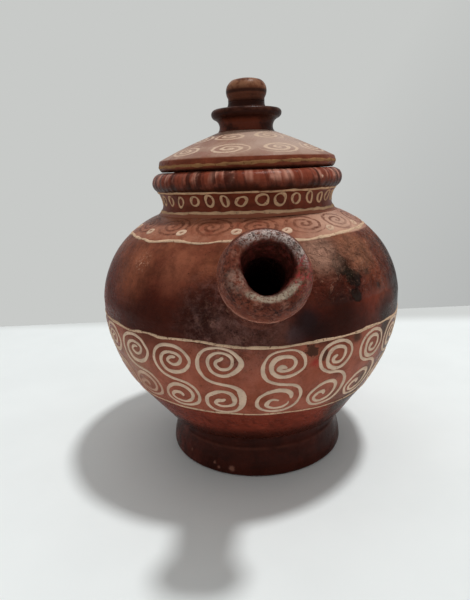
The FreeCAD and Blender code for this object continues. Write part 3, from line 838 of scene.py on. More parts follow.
def add_node(tree, kind, inputs=None, **settings):
    """A new shader node, its settings written and its inputs fed."""
    node = tree.nodes.new("ShaderNode" + kind)
    for key, value in settings.items():
        setattr(node, key, value)
    for key, value in (inputs or {}).items():
        feed(tree, value, node.inputs[key])
    return node


class Value:
    """A number, place or colour inside a material. Plain arithmetic joins the numbers."""

    def __init__(self, clay, socket):
        self.clay = clay
        self.socket = socket

    def __add__(self, other):
        return self.clay.math("ADD", self, other)

    def __sub__(self, other):
        return self.clay.math("SUBTRACT", self, other)

    def __rsub__(self, other):
        return self.clay.math("SUBTRACT", other, self)

    def __mul__(self, other):
        return self.clay.math("MULTIPLY", self, other)

    def __truediv__(self, other):
        return self.clay.math("DIVIDE", self, other)

    def __pow__(self, other):
        return self.clay.math("POWER", self, other)

    def __abs__(self):
        return self.clay.math("ABSOLUTE", self)

    def step(self, low, high, start=0.0, end=1.0):
        """A smooth step from one level to another."""
        inputs = {"Value": self, "From Min": low, "From Max": high, "To Min": start, "To Max": end}
        node = add_node(self.clay.tree, "MapRange", inputs, interpolation_type="SMOOTHSTEP")
        return Value(self.clay, node.outputs["Result"])

    def fall(self, low, high):
        """1 up to the low level, 0 from the high one on."""
        return self.step(low, high, 1.0, 0.0)

    def between(self, low, full, ebb, high):
        """0 outside the low and high levels, 1 between the full and ebb ones."""
        return self.step(low, full) * self.fall(ebb, high)


class Clay:
    """A node material whose noises are measured in millimetres on the piece."""

    def __init__(self, name, roughness=0.42, bend=1.1):
        self.material = bpy.data.materials.new(name)
        self.material.use_nodes = True
        self.tree = self.material.node_tree
        self.shader = self.tree.nodes["Principled BSDF"]
        for key, value in (("Roughness", roughness), ("IOR", bend), ("Specular IOR Level", 1.0)):
            self.shader.inputs[key].default_value = value
        coords = add_node(self.tree, "TexCoord").outputs
        self.place = self.vector("SCALE", coords["Object"], scale=1.0 / MM)
        self.facing = coords["Normal"]
        split = add_node(self.tree, "SeparateXYZ", {0: self.place})
        self.x, self.y, self.z = (Value(self, output) for output in split.outputs)
        self.swings = {}
        self.colour = self.sheen = self.relief = None

    def vector(self, operation, first, second=None, scale=None):
        """A sum on places. Some give a number."""
        inputs = {0: first, 1: second, "Scale": scale}
        inputs = {key: value for key, value in inputs.items() if value is not None}
        outputs = add_node(self.tree, "VectorMath", inputs, operation=operation).outputs
        return Value(self, outputs["Value" if operation in {"DISTANCE", "DOT_PRODUCT"} else "Vector"])

    def math(self, operation, *numbers, clamp=False):
        """A sum on numbers."""
        node = add_node(self.tree, "Math", dict(enumerate(numbers)), operation=operation, use_clamp=clamp)
        return Value(self, node.outputs[0])

    def length(self, first, second):
        """Length of two offsets at a right angle."""
        return self.math("SQRT", first ** 2.0 + second ** 2.0)

    def centred(self, value):
        """Distance of a number from the middle between two whole ones."""
        return abs(self.math("FRACT", value) - 0.5)

    def texture(self, place, detail, roughness, distortion=0.0):
        """Noise between 0 and 1 at a place."""
        inputs = {"Vector": place, "Scale": 1.0, "Detail": detail, "Roughness": roughness}
        inputs["Distortion"] = distortion
        return Value(self, add_node(self.tree, "TexNoise", inputs).outputs["Fac"])

    def noise(self, size, detail=3.0, roughness=0.55, shift=0.0, stretch=(1, 1, 1), distortion=0.0):
        """Noise with features of one size, longer along stretched directions."""
        scaled = self.vector("MULTIPLY", self.place, tuple(1.0 / (size * part) for part in stretch))
        moved_on = self.vector("ADD", scaled, (shift, shift * 1.3, shift * 0.7))
        return self.texture(moved_on, detail, roughness, distortion)

    def mix(self, share, first, second):
        """The first colour with a share of the second."""
        node = add_node(self.tree, "Mix", {0: share, 6: first, 7: second}, data_type="RGBA")
        return Value(self, node.outputs[2])

    def layered(self, colour, *layers):
        """A colour with others laid over it, each as a share and a colour."""
        for share, shade in layers:
            colour = self.mix(share, colour, shade)
        return colour

    def paint(self, share, shade):
        """Lay a share of a colour over the clay's colour so far."""
        self.colour = self.mix(share, self.colour, shade)

    def swing(self, size, shift):
        """One of a few shared noises about nought, of nearly the size asked for."""
        size = min(SWING_SIZES, key=lambda known: abs(known - size))
        key = (size, shift % 2 >= 1)
        if key not in self.swings:
            self.swings[key] = self.noise(size, 6.0, 0.72, size + key[1] * 5) - 0.5
        return self.swings[key]

    def near(self, centre, inner, outer, wander=0.0, size=6.0, shift=0.0, share=1.0):
        """A share within the inner distance of a place, 0 past the outer one, with a wandering edge."""
        gap = self.vector("DISTANCE", self.place, tuple(centre))
        if wander:
            gap = self.math("MULTIPLY_ADD", self.swing(size, shift), wander * 2, gap)
        return gap.step(inner, outer, share, 0.0)

    def emboss(self, height, depth):
        """Relief of a depth in millimetres over the relief so far."""
        inputs = {"Strength": 1.0, "Distance": depth * MM, "Height": height}
        if self.relief:
            inputs["Normal"] = self.relief
        self.relief = Value(self, add_node(self.tree, "Bump", inputs).outputs["Normal"])

    def burnished(self, colour, dark, light, cloud, cloud_share, shift):
        """Slip-coloured clay with smoke clouds, burnishing streaks and fine mottling."""
        clouds = self.noise(cloud, 3.0, 0.6, shift, distortion=0.4).step(0.42, 0.68)
        warm = self.noise(cloud * 0.55, 3.0, 0.6, shift + 11).step(0.52, 0.75)
        streaks = self.noise(1.3, 2.0, 0.6, shift + 4, stretch=(14, 14, 1)).step(0.35, 0.7)
        mottle = self.noise(1.6, 4.0, 0.7, shift + 6).step(0.5, 0.72)
        return self.layered(
            colour, (clouds * cloud_share, dark), (warm * 0.35, light),
            (streaks * 0.22, dark), (mottle * 0.25, dark),
        )

    def wear(self, base, spread, grain, shift):
        """Roughness and fine relief of burnished clay."""
        uneven = self.noise(9.0, 4.0, 0.65, shift + 2)
        self.sheen = uneven.step(0.3, 0.75, base - spread / 2, base + spread / 2)
        self.emboss(self.noise(0.9, 4.0, 0.7, shift + 3), grain)
        self.emboss(self.noise(3.2, 2.0, 0.5, shift + 5, stretch=(3, 3, 1)), grain * 1.4)

    def finish(self):
        """The material, with the colour, sheen and relief joined to its shader."""
        for key, value in (("Base Color", self.colour), ("Roughness", self.sheen), ("Normal", self.relief)):
            if value:
                feed(self.tree, value, self.shader.inputs[key])
        return self.material


def round_axis(clay):
    """Angle round the turning axis, in radians, and distance from it."""
    return clay.math("ARCTAN2", clay.x, clay.y * -1.0), clay.length(clay.x, clay.y)


def spirals(clay, turn, along, count, first, centre, girth, wide, tall, turns):
    """A ring of brushed spirals: 1 on their strokes, 0 between them.

    Each is wide along the ring and tall across it, in half sizes, on a skin whose radius is girth.
    """
    pitch = 2 * math.pi / count
    cell = (turn - math.radians(first)) / pitch + 0.5
    index = clay.math("FLOOR", cell)
    stir = 0.3
    beside = (cell - index - 0.5) * (pitch * girth / wide) + (clay.noise(6.0, 2.0, shift=centre) - 0.5) * stir
    beyond = (along - centre) / tall + (clay.noise(6.0, 2.0, shift=centre + 7) - 0.5) * stir
    reach = clay.length(beside, beyond)
    angle = clay.math("ARCTAN2", beyond, beside) / (-2 * math.pi)
    phase = reach * turns + angle + index * (3.0 / count)
    return clay.centred(phase).step(0.20, 0.37) * reach.fall(0.98, 1.08)


def belly_spot(angle, height):
    """A place on the belly."""
    return belly_skin.at(angle, bl(height))


# Belly

m = Clay("belly_clay", bend=1.07)
turn, reach = round_axis(m)
red = m.layered(
    m.burnished((112, 52, 38), (62, 26, 19), (142, 76, 54), 22.0, 0.55, 1.0),
    (m.noise(5.0, 3.0, 0.6, 12, stretch=(1, 1, 4)).step(0.45, 0.7) * 0.35, (76, 30, 22)),
    (m.noise(8.0, 4.0, 0.65, 14, stretch=(1.6, 1.6, 1)).step(0.55, 0.72) * 0.4, (128, 50, 36)),
)
band = m.layered(
    m.mix(m.noise(11.0).step(0.4, 0.75), BRICK, (146, 78, 58)),
    (m.noise(1.4, 4.0, 0.7).step(0.5, 0.75) * 0.3, (122, 66, 50)),
    (m.noise(4.5, 4.0, 0.65, 19).step(0.55, 0.7) * 0.4, (126, 80, 60)),
)
# Slanting brush marks under the band
slant = (turn + m.z * 0.0115) * (68 / (2 * math.pi)) + m.noise(6.0, 2.0, shift=61) * 1.6
dashes = m.centred(slant).step(0.28, 0.4) * m.z.between(31.0, 33.0, 37.5, 40.0)
low = m.layered(
    m.burnished((134, 58, 42), (88, 35, 26), (150, 70, 50), 18.0, 0.55, 7.0),
    (dashes * m.noise(3.0, shift=63).step(0.35, 0.6) * 0.55, (78, 30, 22)),
)
# Pale slip with dark spirals round the shoulder
arc = m.math("ARCSINE", m.math("DIVIDE", m.z - BELLY_Z, upper_bend, clamp=True)) * upper_bend
coils = spirals(m, turn, arc, 16, 2.3, 50.2, 52.6, 9.6, 6.9, 2.5)
fade = m.noise(16.0, shift=31).step(0.35, 0.6, 0.45, 0.95)
pale = m.layered(
    m.mix(m.noise(7.0).step(0.35, 0.7), (168, 112, 88), (146, 88, 66)),
    (m.noise(1.8, 4.0, 0.7, 3).step(0.45, 0.75) * 0.35, (126, 72, 54)),
    (m.noise(5.0, 4.0, 0.7, 13).step(0.52, 0.66) * 0.5, (140, 74, 56)),
    # A painted highlight high on the right of the shoulder
    (m.near(belly_spot(46, 122), 4.0, 32.0, 4.0, 6.5, 1.0, 0.85), (204, 164, 142)),
    (coils * fade * m.noise(1.6, 4.0, 0.7, 22).step(0.3, 0.55), (104, 58, 42)),
)
# The band's upper edge runs higher on the left and the right than in front
above = m.z - (m.x.fall(-50.0, 0.0) * 3.0 + m.x.step(0.0, 50.0))
m.colour = m.mix(m.z.step(*BAND_FOOT), low, band)
m.paint(above.step(*BAND_TOP), red)
# The red warms towards the shoulder, and darkens just over the band
m.paint(above.step(98.0, 112.0) * m.noise(9.0, shift=5).step(0.3, 0.7, 0.2, 0.7), (152, 92, 66))
m.paint(above.between(78.2, 79.0, 84.0, 99.0) * 0.5, (52, 24, 19))
m.paint(m.z.step(*SHOULDER_LINE), pale)

# Stains, rubbed spots, painted sheen and painted highlights: angle, height, inner, outer, colour, share,
# wander, size, shift
PATCHES = [
    (-70, 92, 2, 34, (92, 32, 19), 0.75, 6, 12, 1),
    (-38, 88, 4, 26, (60, 24, 16), 0.75, 7, 9, 2),
    (-74, 83, 3, 18, (128, 36, 22), 0.8, 5, 6, 40),
    (-50, 107, 3, 20, (160, 94, 68), 0.6, 4, 8, 3),
    (-28, 109, 3, 16, (150, 88, 66), 0.6, 4, 6, 33),
    (-18, 92, 3, 18, (50, 25, 19), 0.75, 5, 6, 4),
    # These two are painted sheen under the spout
    (-9, 85, 3, 14, (116, 80, 72), 0.6, 4, 4, 5),
    (3, 85, 3, 14, (112, 72, 62), 0.65, 3, 4, 6),
    (14, 87, 3, 10, INK, 0.9, 2.5, 5, 7),
    (19, 82, 2, 8, (30, 20, 20), 0.85, 2.5, 5, 8),
    (10, 82, 1, 6, (84, 72, 76), 0.5, 2, 3, 34),
    (26, 88, 3, 18, (44, 18, 13), 0.85, 5, 7, 9),
    (47, 99, 3, 15, (152, 76, 50), 0.7, 5, 5, 17),
    (40, 92, 2, 12, (118, 50, 34), 0.6, 4, 5, 35),
    (30.0, 107.5, 3.9, 4.8, SOOT, 1.0, 5.5, 3, 10),
    (34, 101.5, 3.5, 4.5, SOOT, 0.95, 5.5, 3, 11),
    (32, 104.5, 2.4, 3.2, (46, 42, 32), 0.9, 3.0, 3, 12),
    (33, 95.0, 2.4, 3.4, SOOT, 0.9, 4.0, 3, 13),
    (41, 103, 0.5, 2.6, SOOT, 0.75, 1.6, 2.5, 36),
    (46, 96, 0.5, 2.4, SOOT, 0.7, 1.6, 2.5, 37),
    (66, 88, 5, 21, (26, 18, 13), 0.97, 4, 5, 14),
    (70, 103, 3, 16, (34, 24, 18), 0.88, 4, 5, 15),
    (50, 84, 2, 10, (42, 26, 20), 0.7, 4, 4, 16),
    # These two are painted highlights high on the right of the shoulder
    (24, 113.0, 4, 14, (190, 144, 122), 0.85, 5, 5, 18),
    (41, 112.0, 4, 15, (172, 114, 86), 0.8, 5, 5, 19),
    (15.5, 75, 2.4, 3.4, (46, 38, 30), 0.8, 6.0, 2.5, 20),
    (20, 72, 1.8, 2.8, (52, 40, 30), 0.75, 6.0, 2.5, 21),
    (50, 76, 2, 11, (44, 40, 32), 0.85, 3.5, 4, 22),
    (33, 77, 1, 4.5, (60, 44, 34), 0.8, 2.5, 3, 38),
    (60, 64, 4, 18, (66, 62, 50), 0.85, 5, 6, 23),
    (46, 52, 3, 14, (84, 76, 64), 0.8, 6, 4, 24),
    (30, 47, 2, 9, (88, 62, 48), 0.55, 3, 4, 25),
    (27, 62, 1, 7, (96, 52, 40), 0.5, 3, 3, 39),
    (40, 38, 3, 17, (52, 44, 36), 0.9, 6, 5, 26),
    (17, 69, 0.6, 3.4, (170, 56, 48), 0.75, 2.4, 2.5, 27),
    (-50, 61, 2, 20, (160, 122, 100), 0.6, 5, 6, 41),
    (140, 92, 6, 30, (52, 24, 18), 0.7, 8, 10, 28),
    (185, 100, 4, 22, (58, 28, 20), 0.6, 6, 9, 29),
    (230, 90, 5, 28, (54, 26, 19), 0.7, 8, 10, 30),
    (200, 60, 3, 14, (88, 52, 40), 0.6, 5, 6, 31),
]
# The shifts of those where the slip has flaked off
CHIPPED = (10, 11, 13)
chipped = 0.0
for angle, height, inner, outer, shade, share, wander, size, shift in PATCHES:
    stain = m.near(belly_spot(angle, height), inner, outer, wander, size, shift, share)
    m.paint(stain, shade)
    if shift in CHIPPED:
        chipped = m.math("MAXIMUM", chipped, stain)
# Grimy mottling, strong on the red and faint on the painted band
grime = m.noise(9.0, 7.0, 0.8, 71, stretch=(1, 1, 1.5)).step(0.38, 0.66)
m.paint(grime * (above.step(*BAND_TOP, 0.28, 0.52) - m.z.step(*SHOULDER_LINE, 0.0, 0.34)), (46, 19, 13))
# Painted shade under the keel and in the seam above the foot
m.paint(m.z.step(25.0, 33.0, 0.85, 0.0), (44, 20, 14))
# Black crazing, and a pale grey painted sheen, left of and under the spout
zone = m.near(belly_spot(-9, 88), 8.0, 27.0, 8.0, 8.0, 33)
m.paint(m.noise(4.0, 6.0, 0.75, 18).step(0.42, 0.7) * zone * 0.7, (140, 100, 92))
m.paint(m.noise(2.0, 6.0, 0.8, 15).step(0.5, 0.62) * zone * 0.6, (34, 16, 13))
# Dark specks, flaked slip on the band, and painted glints high on the left and the right
m.paint(m.noise(0.9, 3.0, 0.6, 25).step(0.64, 0.7) * 0.6, (36, 18, 14))
flaked = m.near(belly_spot(19, 64), 6.0, 22.0, 6.0, 6.5, 1.0, 0.85)
m.paint(flaked * m.noise(3.0, 6.0, 0.75, 81).step(0.58, 0.63), (64, 38, 30))
glints = m.near(belly_spot(-46, 110), 1.0, 7.0, 3.0, 3.0, 5)
m.paint(m.noise(0.8, 3.0, 0.6, 44).step(0.56, 0.62) * glints * 0.8, (196, 150, 124))
glints = m.near(belly_spot(34, 106), 2.0, 11.0, 3.0, 3.0, 6)
m.paint(m.noise(0.8, 3.0, 0.6, 47).step(0.66, 0.71) * glints * 0.75, (188, 150, 126))
# Raw clay inside, where the skin faces the axis
hollow = m.vector("DOT_PRODUCT", m.facing, m.vector("MULTIPLY", m.place, (1.0, 1.0, 0.0)))
hollow = m.math("MAXIMUM", hollow.fall(-12.0, -6.0), reach.fall(37.0, 37.8))
m.paint(hollow, m.mix(grime, (128, 72, 52), (70, 36, 26)))
# Wrinkles right of the spout, with painted highlights on their crests
m.wear(0.27, 0.18, 0.2, 1.0)
wrinkles = m.noise(5.5, 5.0, 0.65, 52, distortion=0.8)
wrinkled = m.x.step(14.0, 26.0) * m.y.fall(-10.0, 15.0) * m.z.between(92.0, 100.0, 116.5, 119.0)
wrinkled = m.math("MAXIMUM", wrinkled, zone * 0.5)
m.emboss(wrinkles * wrinkled, 9.0)
m.emboss(1.0 - chipped, 1.2)
# Painted highlights along the wrinkles' crests
crest_highlight = abs(wrinkles - 0.52).fall(0.0, 0.014) * wrinkled * m.noise(4.0, shift=73).step(0.42, 0.6)
m.paint(crest_highlight * 0.65, (196, 142, 118))
belly_material = m.finish()


# Smaller members

def member(name, colours, roughness, cloud, cloud_share, shift, zones):
    """A burnished finish for one of the smaller members, with the marks of its zones."""
    clay = Clay(name, roughness)
    clay.colour = clay.burnished(*colours, cloud, cloud_share, shift)
    zones(clay)
    clay.wear(roughness * 0.7, 0.14, 0.1, shift)
    return clay.finish()


# Specks on the foot where the slip has gone, as angle, height and size
FOOT_SPECKS = (
    (-31, 5.2, 1.3), (-28, 3.4, 1.2), (-19.5, 3.8, 2.0), (-51, 7.0, 1.2), (140, 4.0, 2.0), (215, 5.0, 1.6),
)


def foot_zones(clay):
    """A painted highlight along the foot's upper edge, a redder left side that is partly a painted highlight,
    and pale specks where the slip has gone near the base.
    """
    # A painted highlight along the upper edge
    rim = clay.z.between(13.1, 13.9, 14.4, 15.0) * clay.noise(7.0, shift=2).step(0.35, 0.6)
    clay.paint(rim * 0.4, (96, 52, 40))
    # A redder left side, partly a painted highlight
    reddened_lit_side = clay.x.fall(-44.0, -20.0) * clay.noise(6.0, shift=12).step(0.4, 0.65)
    clay.paint(reddened_lit_side * 0.6, (112, 52, 42))
    for angle, height, size in FOOT_SPECKS:
        centre = around(angle, FOOT_BASE_R - 0.2, height) + lean(0)
        clay.paint(clay.near(centre, size * 0.3, size, 1.2, 1.0, angle) * 0.6, (150, 104, 88))
    worn_base = clay.z.fall(0.1, 1.0) * clay.noise(3.0, shift=9).step(0.45, 0.65)
    clay.paint(worn_base * 0.4, (118, 74, 58))


def neck_zones(clay):
    """The shoulder's paler slip runs up to the neck's lower line. Inside is raw clay."""
    clay.paint(clay.z.fall(128.6, 129.2), (148, 90, 68))
    raw = clay.mix(clay.noise(6.0, 5.0, 0.7, 4).step(0.36, 0.66), (128, 72, 52), (78, 40, 29))
    clay.paint(clay.length(clay.x, clay.y).fall(40.2, 41.0), raw)


def stripes(clay, turn, size, low, high, shift=0.0, tilt=0.0):
    """Uneven strokes across the roll, at places round the axis."""
    swung = turn + clay.z * tilt if tilt else turn
    girth = 46.0 / size
    inputs = {0: clay.math("COSINE", swung) * girth, 1: clay.math("SINE", swung) * girth, 2: shift}
    place = add_node(clay.tree, "CombineXYZ", inputs).outputs[0]
    return clay.texture(place, 1.0, 0.4).step(low, high)


def roll_zones(clay):
    """Dark brushed strokes across the roll, unevenly spaced, with painted highlights in blocks on its upper
    half and painted shade on its underside.
    """
    turn = round_axis(clay)[0]
    # Painted highlights in blocks on the upper half
    highlight_blocks = stripes(clay, turn, 4.4, 0.46, 0.56, 11.0) * clay.z.step(141.0, 144.5)
    clay.paint(highlight_blocks * clay.noise(8.0, shift=17).step(0.34, 0.56) * 0.8, (196, 140, 120))
    strokes = (3.4, 0.53, 0.60, 0.8, (58, 25, 17)), (1.7, 0.54, 0.62, 0.5, (74, 33, 24))
    for size, low, high, share, dark in strokes:
        bars = stripes(clay, turn, size, low, high, size, 0.004)
        broken = clay.noise(2.5, 4.0, 0.65, size + 4).step(0.28, 0.5)
        clay.paint(bars * broken * share, dark)
    scratch = clay.near(around(42, 48.2, 143.5), 0.2, 1.0, 0.6, 0.8, 3.0)
    clay.paint(scratch * 0.85, (214, 180, 156))
    # Painted shade on the underside
    underside_shade = clay.z + clay.noise(5.0, 5.0, 0.7, 27) * -7.0
    clay.paint(underside_shade.step(135.6, 140.2, 0.9, 0.0), (44, 22, 14))


def lid_zones(clay):
    """Pale top, partly painted sheen, with a painted highlight on the right and faint cream spirals, a
    painted shadow along the lower edge, and raw, turned clay underneath.
    """
    turn, reach = round_axis(clay)
    # The top's paler colour is partly painted sheen
    top = clay.layered(
        clay.mix(clay.noise(14.0, 4.0, 0.6, 3).step(0.35, 0.7), (138, 98, 80), (168, 136, 118)),
        (clay.noise(1.7, 4.0, 0.7, 8).step(0.45, 0.72) * 0.3, (130, 90, 72)),
        (clay.noise(6.0, 3.0, 0.6, 28).step(0.5, 0.68) * 0.4, (138, 82, 68)),
        # A painted highlight on the right of the top
        (clay.near(around(28, 26.0, 162.0), 6.0, 30.0, 5.0, 10.0, 2.0, 0.6), (196, 174, 160)),
    )
    worn = clay.noise(1.6, 4.0, 0.7, 34).step(0.26, 0.48)
    rings = (10, 21.3, 36.8, 9.4, 5.0, 2.2), (8, 25.2, 22.8, 8.0, 4.4, 2.0)
    for count, first, centre, wide, tall, turns in rings:
        coils = spirals(clay, turn, reach, count, first, centre, centre, wide, tall, turns)
        top = clay.mix(coils * worn * 0.7, top, (220, 194, 168))
    clay.paint(clay.z.step(152.7, 153.4), top)
    # Painted shadow along the lid's lower edge
    clay.paint(clay.z.fall(148.2, 149.4) * reach.step(40.0, 42.0) * 0.8, (30, 15, 11))
    slope = clay.z + reach * 0.457
    raw = clay.mix(clay.noise(9.0, 5.0, 0.7, 6).step(0.34, 0.66), (156, 98, 74), (116, 66, 49))
    raw = clay.mix(clay.math("SINE", reach * 2.6).step(0.2, 0.9) * 0.22, raw, (96, 52, 38))
    clay.paint(slope.fall(170.6, 171.6) * reach.fall(41.0, 41.6), raw)


def collar_zones(clay):
    """The stem is redder than the flange over it, and the flange's upper edge has a painted highlight."""
    stem_share = clay.z.fall(170.5, 172.5) * clay.noise(5.0, shift=7).step(0.3, 0.55)
    clay.paint(stem_share * clay.x.step(4.0, 12.0, 1.0, 0.1) * 0.75, (106, 50, 34))
    # A painted highlight round the flange's upper edge
    flange_highlight = clay.z.between(174.0, 175.2, 176.6, 178.0) * clay.noise(4.0, 4.0, shift=17).step(0.45, 0.65)
    clay.paint(flange_highlight * 0.4, (98, 60, 46))


def bead_zones(clay):
    """A painted highlight on the crown, a painted shadow line under it, and painted shade in the recess at
    its foot.
    """
    clay.paint(clay.z.step(184.6, 187.5) * clay.noise(4.0).step(0.32, 0.58) * 0.8, (146, 102, 76))
    clay.paint(clay.z.between(183.6, 184.4, 185.0, 186.0) * 0.7, (36, 17, 12))
    clay.paint(clay.z.step(180.2, 181.6, 0.7, 0.0), (40, 18, 12))


foot_colours = (66, 28, 20), (37, 16, 11), (88, 38, 28)
foot_material = member("foot_clay", foot_colours, 0.42, 14.0, 0.55, 51.0, foot_zones)
neck_colours = (116, 54, 37), (66, 31, 20), (140, 70, 52)
neck_material = member("neck_clay", neck_colours, 0.5, 6.0, 0.55, 61.0, neck_zones)
roll_colours = (132, 64, 46), (92, 41, 30), (156, 88, 66)
roll_material = member("roll_clay", roll_colours, 0.42, 8.0, 0.4, 71.0, roll_zones)
lid_colours = (124, 62, 42), (72, 34, 22), (148, 84, 60)
lid_material = member("lid_clay", lid_colours, 0.45, 9.0, 0.55, 81.0, lid_zones)
collar_colours = (54, 25, 17), (28, 13, 9), (80, 38, 27)
collar_material = member("collar_clay", collar_colours, 0.42, 9.0, 0.55, 91.0, collar_zones)
bead_colours = (98, 54, 37), (60, 31, 21), (124, 76, 55)
bead_material = member("bead_clay", bead_colours, 0.42, 7.0, 0.55, 95.0, bead_zones)

# Spout: dark reddish slip, crusted and worn at the crest, with a painted highlight on the bevel inside the
# lower lip

s = Clay("spout_clay")
s.colour = s.burnished((122, 64, 48), (70, 33, 25), (152, 86, 62), 8.0, 0.55, 101.0)
gap = s.vector("SUBTRACT", s.place, tuple(SPOUT_MOUTH))
hole_gap = s.vector("SUBTRACT", s.place, tuple(SPOUT_MOUTH + across * 0.5 - upward * 1.25))


def reach_along(offset, way):
    """How far an offset reaches along a direction."""
    return s.vector("DOT_PRODUCT", offset, tuple(way))


depth = reach_along(gap, axis)
lateral = reach_along(gap, across)
lift = reach_along(gap, -upward)
rim_radius = s.length(reach_along(gap, across), reach_along(gap, upward))
hole_radius = s.length(reach_along(hole_gap, across), reach_along(hole_gap, upward))
hole_radius = hole_radius + (s.noise(2.5, shift=8) - 0.5) * 1.6
front = depth.fall(3.0, 8.0)
# Dark mottling over the lip's front, and pale patches that are partly painted highlight
s.paint(s.noise(2.2, 6.0, 0.8, 30).step(0.47, 0.6) * front * 0.6, (40, 19, 15))
s.paint(s.noise(3.4, 6.0, 0.75, 36).step(0.5, 0.64) * front * 0.55, (164, 112, 94))
# Pale flecks on the upper crest, partly painted highlight, and pits all round it
high_side = (lift + lateral * 0.4).step(4.0, 10.5)
flecks = s.noise(0.5, 4.0, 0.7, 3).step(0.42, 0.52) * s.noise(4.0, 4.0, 0.7, 13).step(0.3, 0.5)
crest_face = depth.fall(6.0, 9.0) * hole_radius.step(9.0, 10.6) * rim_radius.fall(13.4, 14.8)
s.paint(crest_face * high_side * flecks * 0.8, (230, 214, 206))
crest_ring = front * hole_radius.step(10.2, 11.6) * rim_radius.fall(14.2, 15.6)
s.paint(crest_ring * s.noise(1.2, 6.0, 0.8, 9).step(0.5, 0.6) * 0.8, (26, 13, 11))
# A painted highlight on the bevel
low_side = (lateral * 0.2 - lift).step(4.0, 8.0)
bevel_highlight = hole_radius.between(8.2, 9.2, 11.4, 12.6) * depth.fall(4.5, 7.0) * low_side
s.paint(bevel_highlight * s.noise(0.9, 4.0, 0.75, 14).step(0.38, 0.52) * 0.9, (170, 156, 136))
# Rosy and mossy spots on the right
rosy = front * lateral.step(5.0, 10.0) * lift.between(-12.0, -2.0, 2.0, 7.0)
s.paint(rosy * s.noise(1.2, 4.0, 0.7, 2).step(0.48, 0.58) * 0.75, (168, 60, 62))
mossy = front * lateral.step(8.0, 13.0) * s.noise(1.4, 3.0, 0.6, 41).step(0.52, 0.62)
s.paint(mossy * 0.5, (84, 76, 48))
# The bore, with painted shade deeper in
inside = s.mix(s.noise(2.0, 4.0, 0.7, 50).step(0.45, 0.62), (52, 24, 19), (104, 44, 40))
s.paint(hole_radius.fall(9.4, 10.4) * depth.step(0.6, 2.4) * 0.85, inside)
s.paint(hole_radius.fall(9.6, 10.6) * depth.step(9.0, 18.0) * 0.8, (58, 30, 24))
# A painted reflection along the lip's outer edge, painted shade behind it, and soot with painted shade under
# the tube
rim_reflection = rim_radius.step(15.3, 15.9) * depth.between(6.0, 7.4, 8.4, 10.0)
s.paint(rim_reflection * s.noise(3.0, shift=5).step(0.36, 0.5) * 0.6, (178, 124, 106))
s.paint(rim_radius.fall(12.8, 15.6) * depth.between(12.4, 14.0, 15.4, 17.0) * 0.8, (40, 18, 14))
soot_and_shade = s.mix(s.noise(2.6, 6.0, 0.8, 55).step(0.44, 0.6), (64, 33, 27), (108, 68, 58))
s.paint(depth.step(11.0, 14.5) * lift.fall(-9.0, 1.0) * 0.85, soot_and_shade)
# A glare on the left of the lip
glare = s.near(SPOUT_MOUTH - across * 9.5 + upward * 3.0, 1.0, 5.5, 3.0, 2.7, 1.0)
s.paint(glare * front * s.noise(2.4, 6.0, 0.75, 57).step(0.4, 0.56) * 0.55, (178, 146, 130))
s.wear(0.28, 0.16, 0.24, 101.0)
s.emboss(s.noise(1.3, 4.0, 0.7, 60) * front, 0.7)
spout_material = s.finish()


# Slip

def slip(name, colour, ground, wear_low, wear_high, shift, rubbed=False):
    """Brushed slip, rubbed through to the ground colour in places."""
    clay = Clay(name, 0.7)
    shaded = (*(0.8 * part for part in tone(colour)[:3]), 1.0)
    clay.colour = clay.mix(clay.noise(5.0, shift=shift).step(0.35, 0.7), colour, shaded)
    clay.paint(clay.noise(1.3, 5.0, 0.75, shift + 3).step(wear_low, wear_high), ground)
    if rubbed:
        # The lower scrolls on the left are almost rubbed away
        clay.paint(clay.x.fall(-52.0, -32.0) * clay.z.fall(56.0, 62.0) * 0.6, (166, 112, 94))
    clay.emboss(clay.noise(0.6, 4.0, 0.7, shift + 5), 0.12)
    return clay.finish()


scroll_material = slip("scroll_slip", CREAM, BRICK, 0.57, 0.72, 3.0, rubbed=True)
line_material = slip("line_slip", (212, 180, 150), (104, 52, 38), 0.54, 0.66, 9.0)
neck_slip = slip("neck_slip", (208, 170, 134), (92, 44, 31), 0.54, 0.7, 15.0)
dot_slip = slip("dot_slip", (214, 182, 156), (150, 96, 76), 0.54, 0.7, 17.0)
ochre_slip = slip("ochre_slip", (152, 110, 72), (92, 50, 33), 0.53, 0.68, 33.0)

# Bodies, nodes and finishes

PIECES = [
    (belly, belly_material, "pot", ("belly_bowl", "belly_shoulder"), "clay_body"),
    (foot, foot_material, "pot", ("foot_ring",), "clay_foot"),
    (neck, neck_material, "pot", ("neck",), "clay_neck"),
    (roll, roll_material, "pot", ("rim_roll",), "clay_rim"),
    (spout, spout_material, "pot", ("spout_tube", "spout_lip"), "clay_spout"),
    (lid, lid_material, "lid", ("lid_cover", "lid_flange"), "clay_lid"),
    (collar, collar_material, "lid", ("knob_collar",), "clay_knob"),
    (bead, bead_material, "lid", ("knob_bead",), "clay_knob"),
    (scrolls, scroll_material, "pot", (), None),
    (lines, line_material, "pot", (), None),
    (neck_lines, neck_slip, "pot", (), None),
    (dots, dot_slip, "pot", (), None),
    (ochre, ochre_slip, "lid", (), None),
]
for piece, material, body, nodes, slot in PIECES:
    piece.data.materials.clear()
    piece.data.materials.append(material)
    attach(piece, body)
    if nodes:
        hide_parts(*nodes)


# Table, background and light

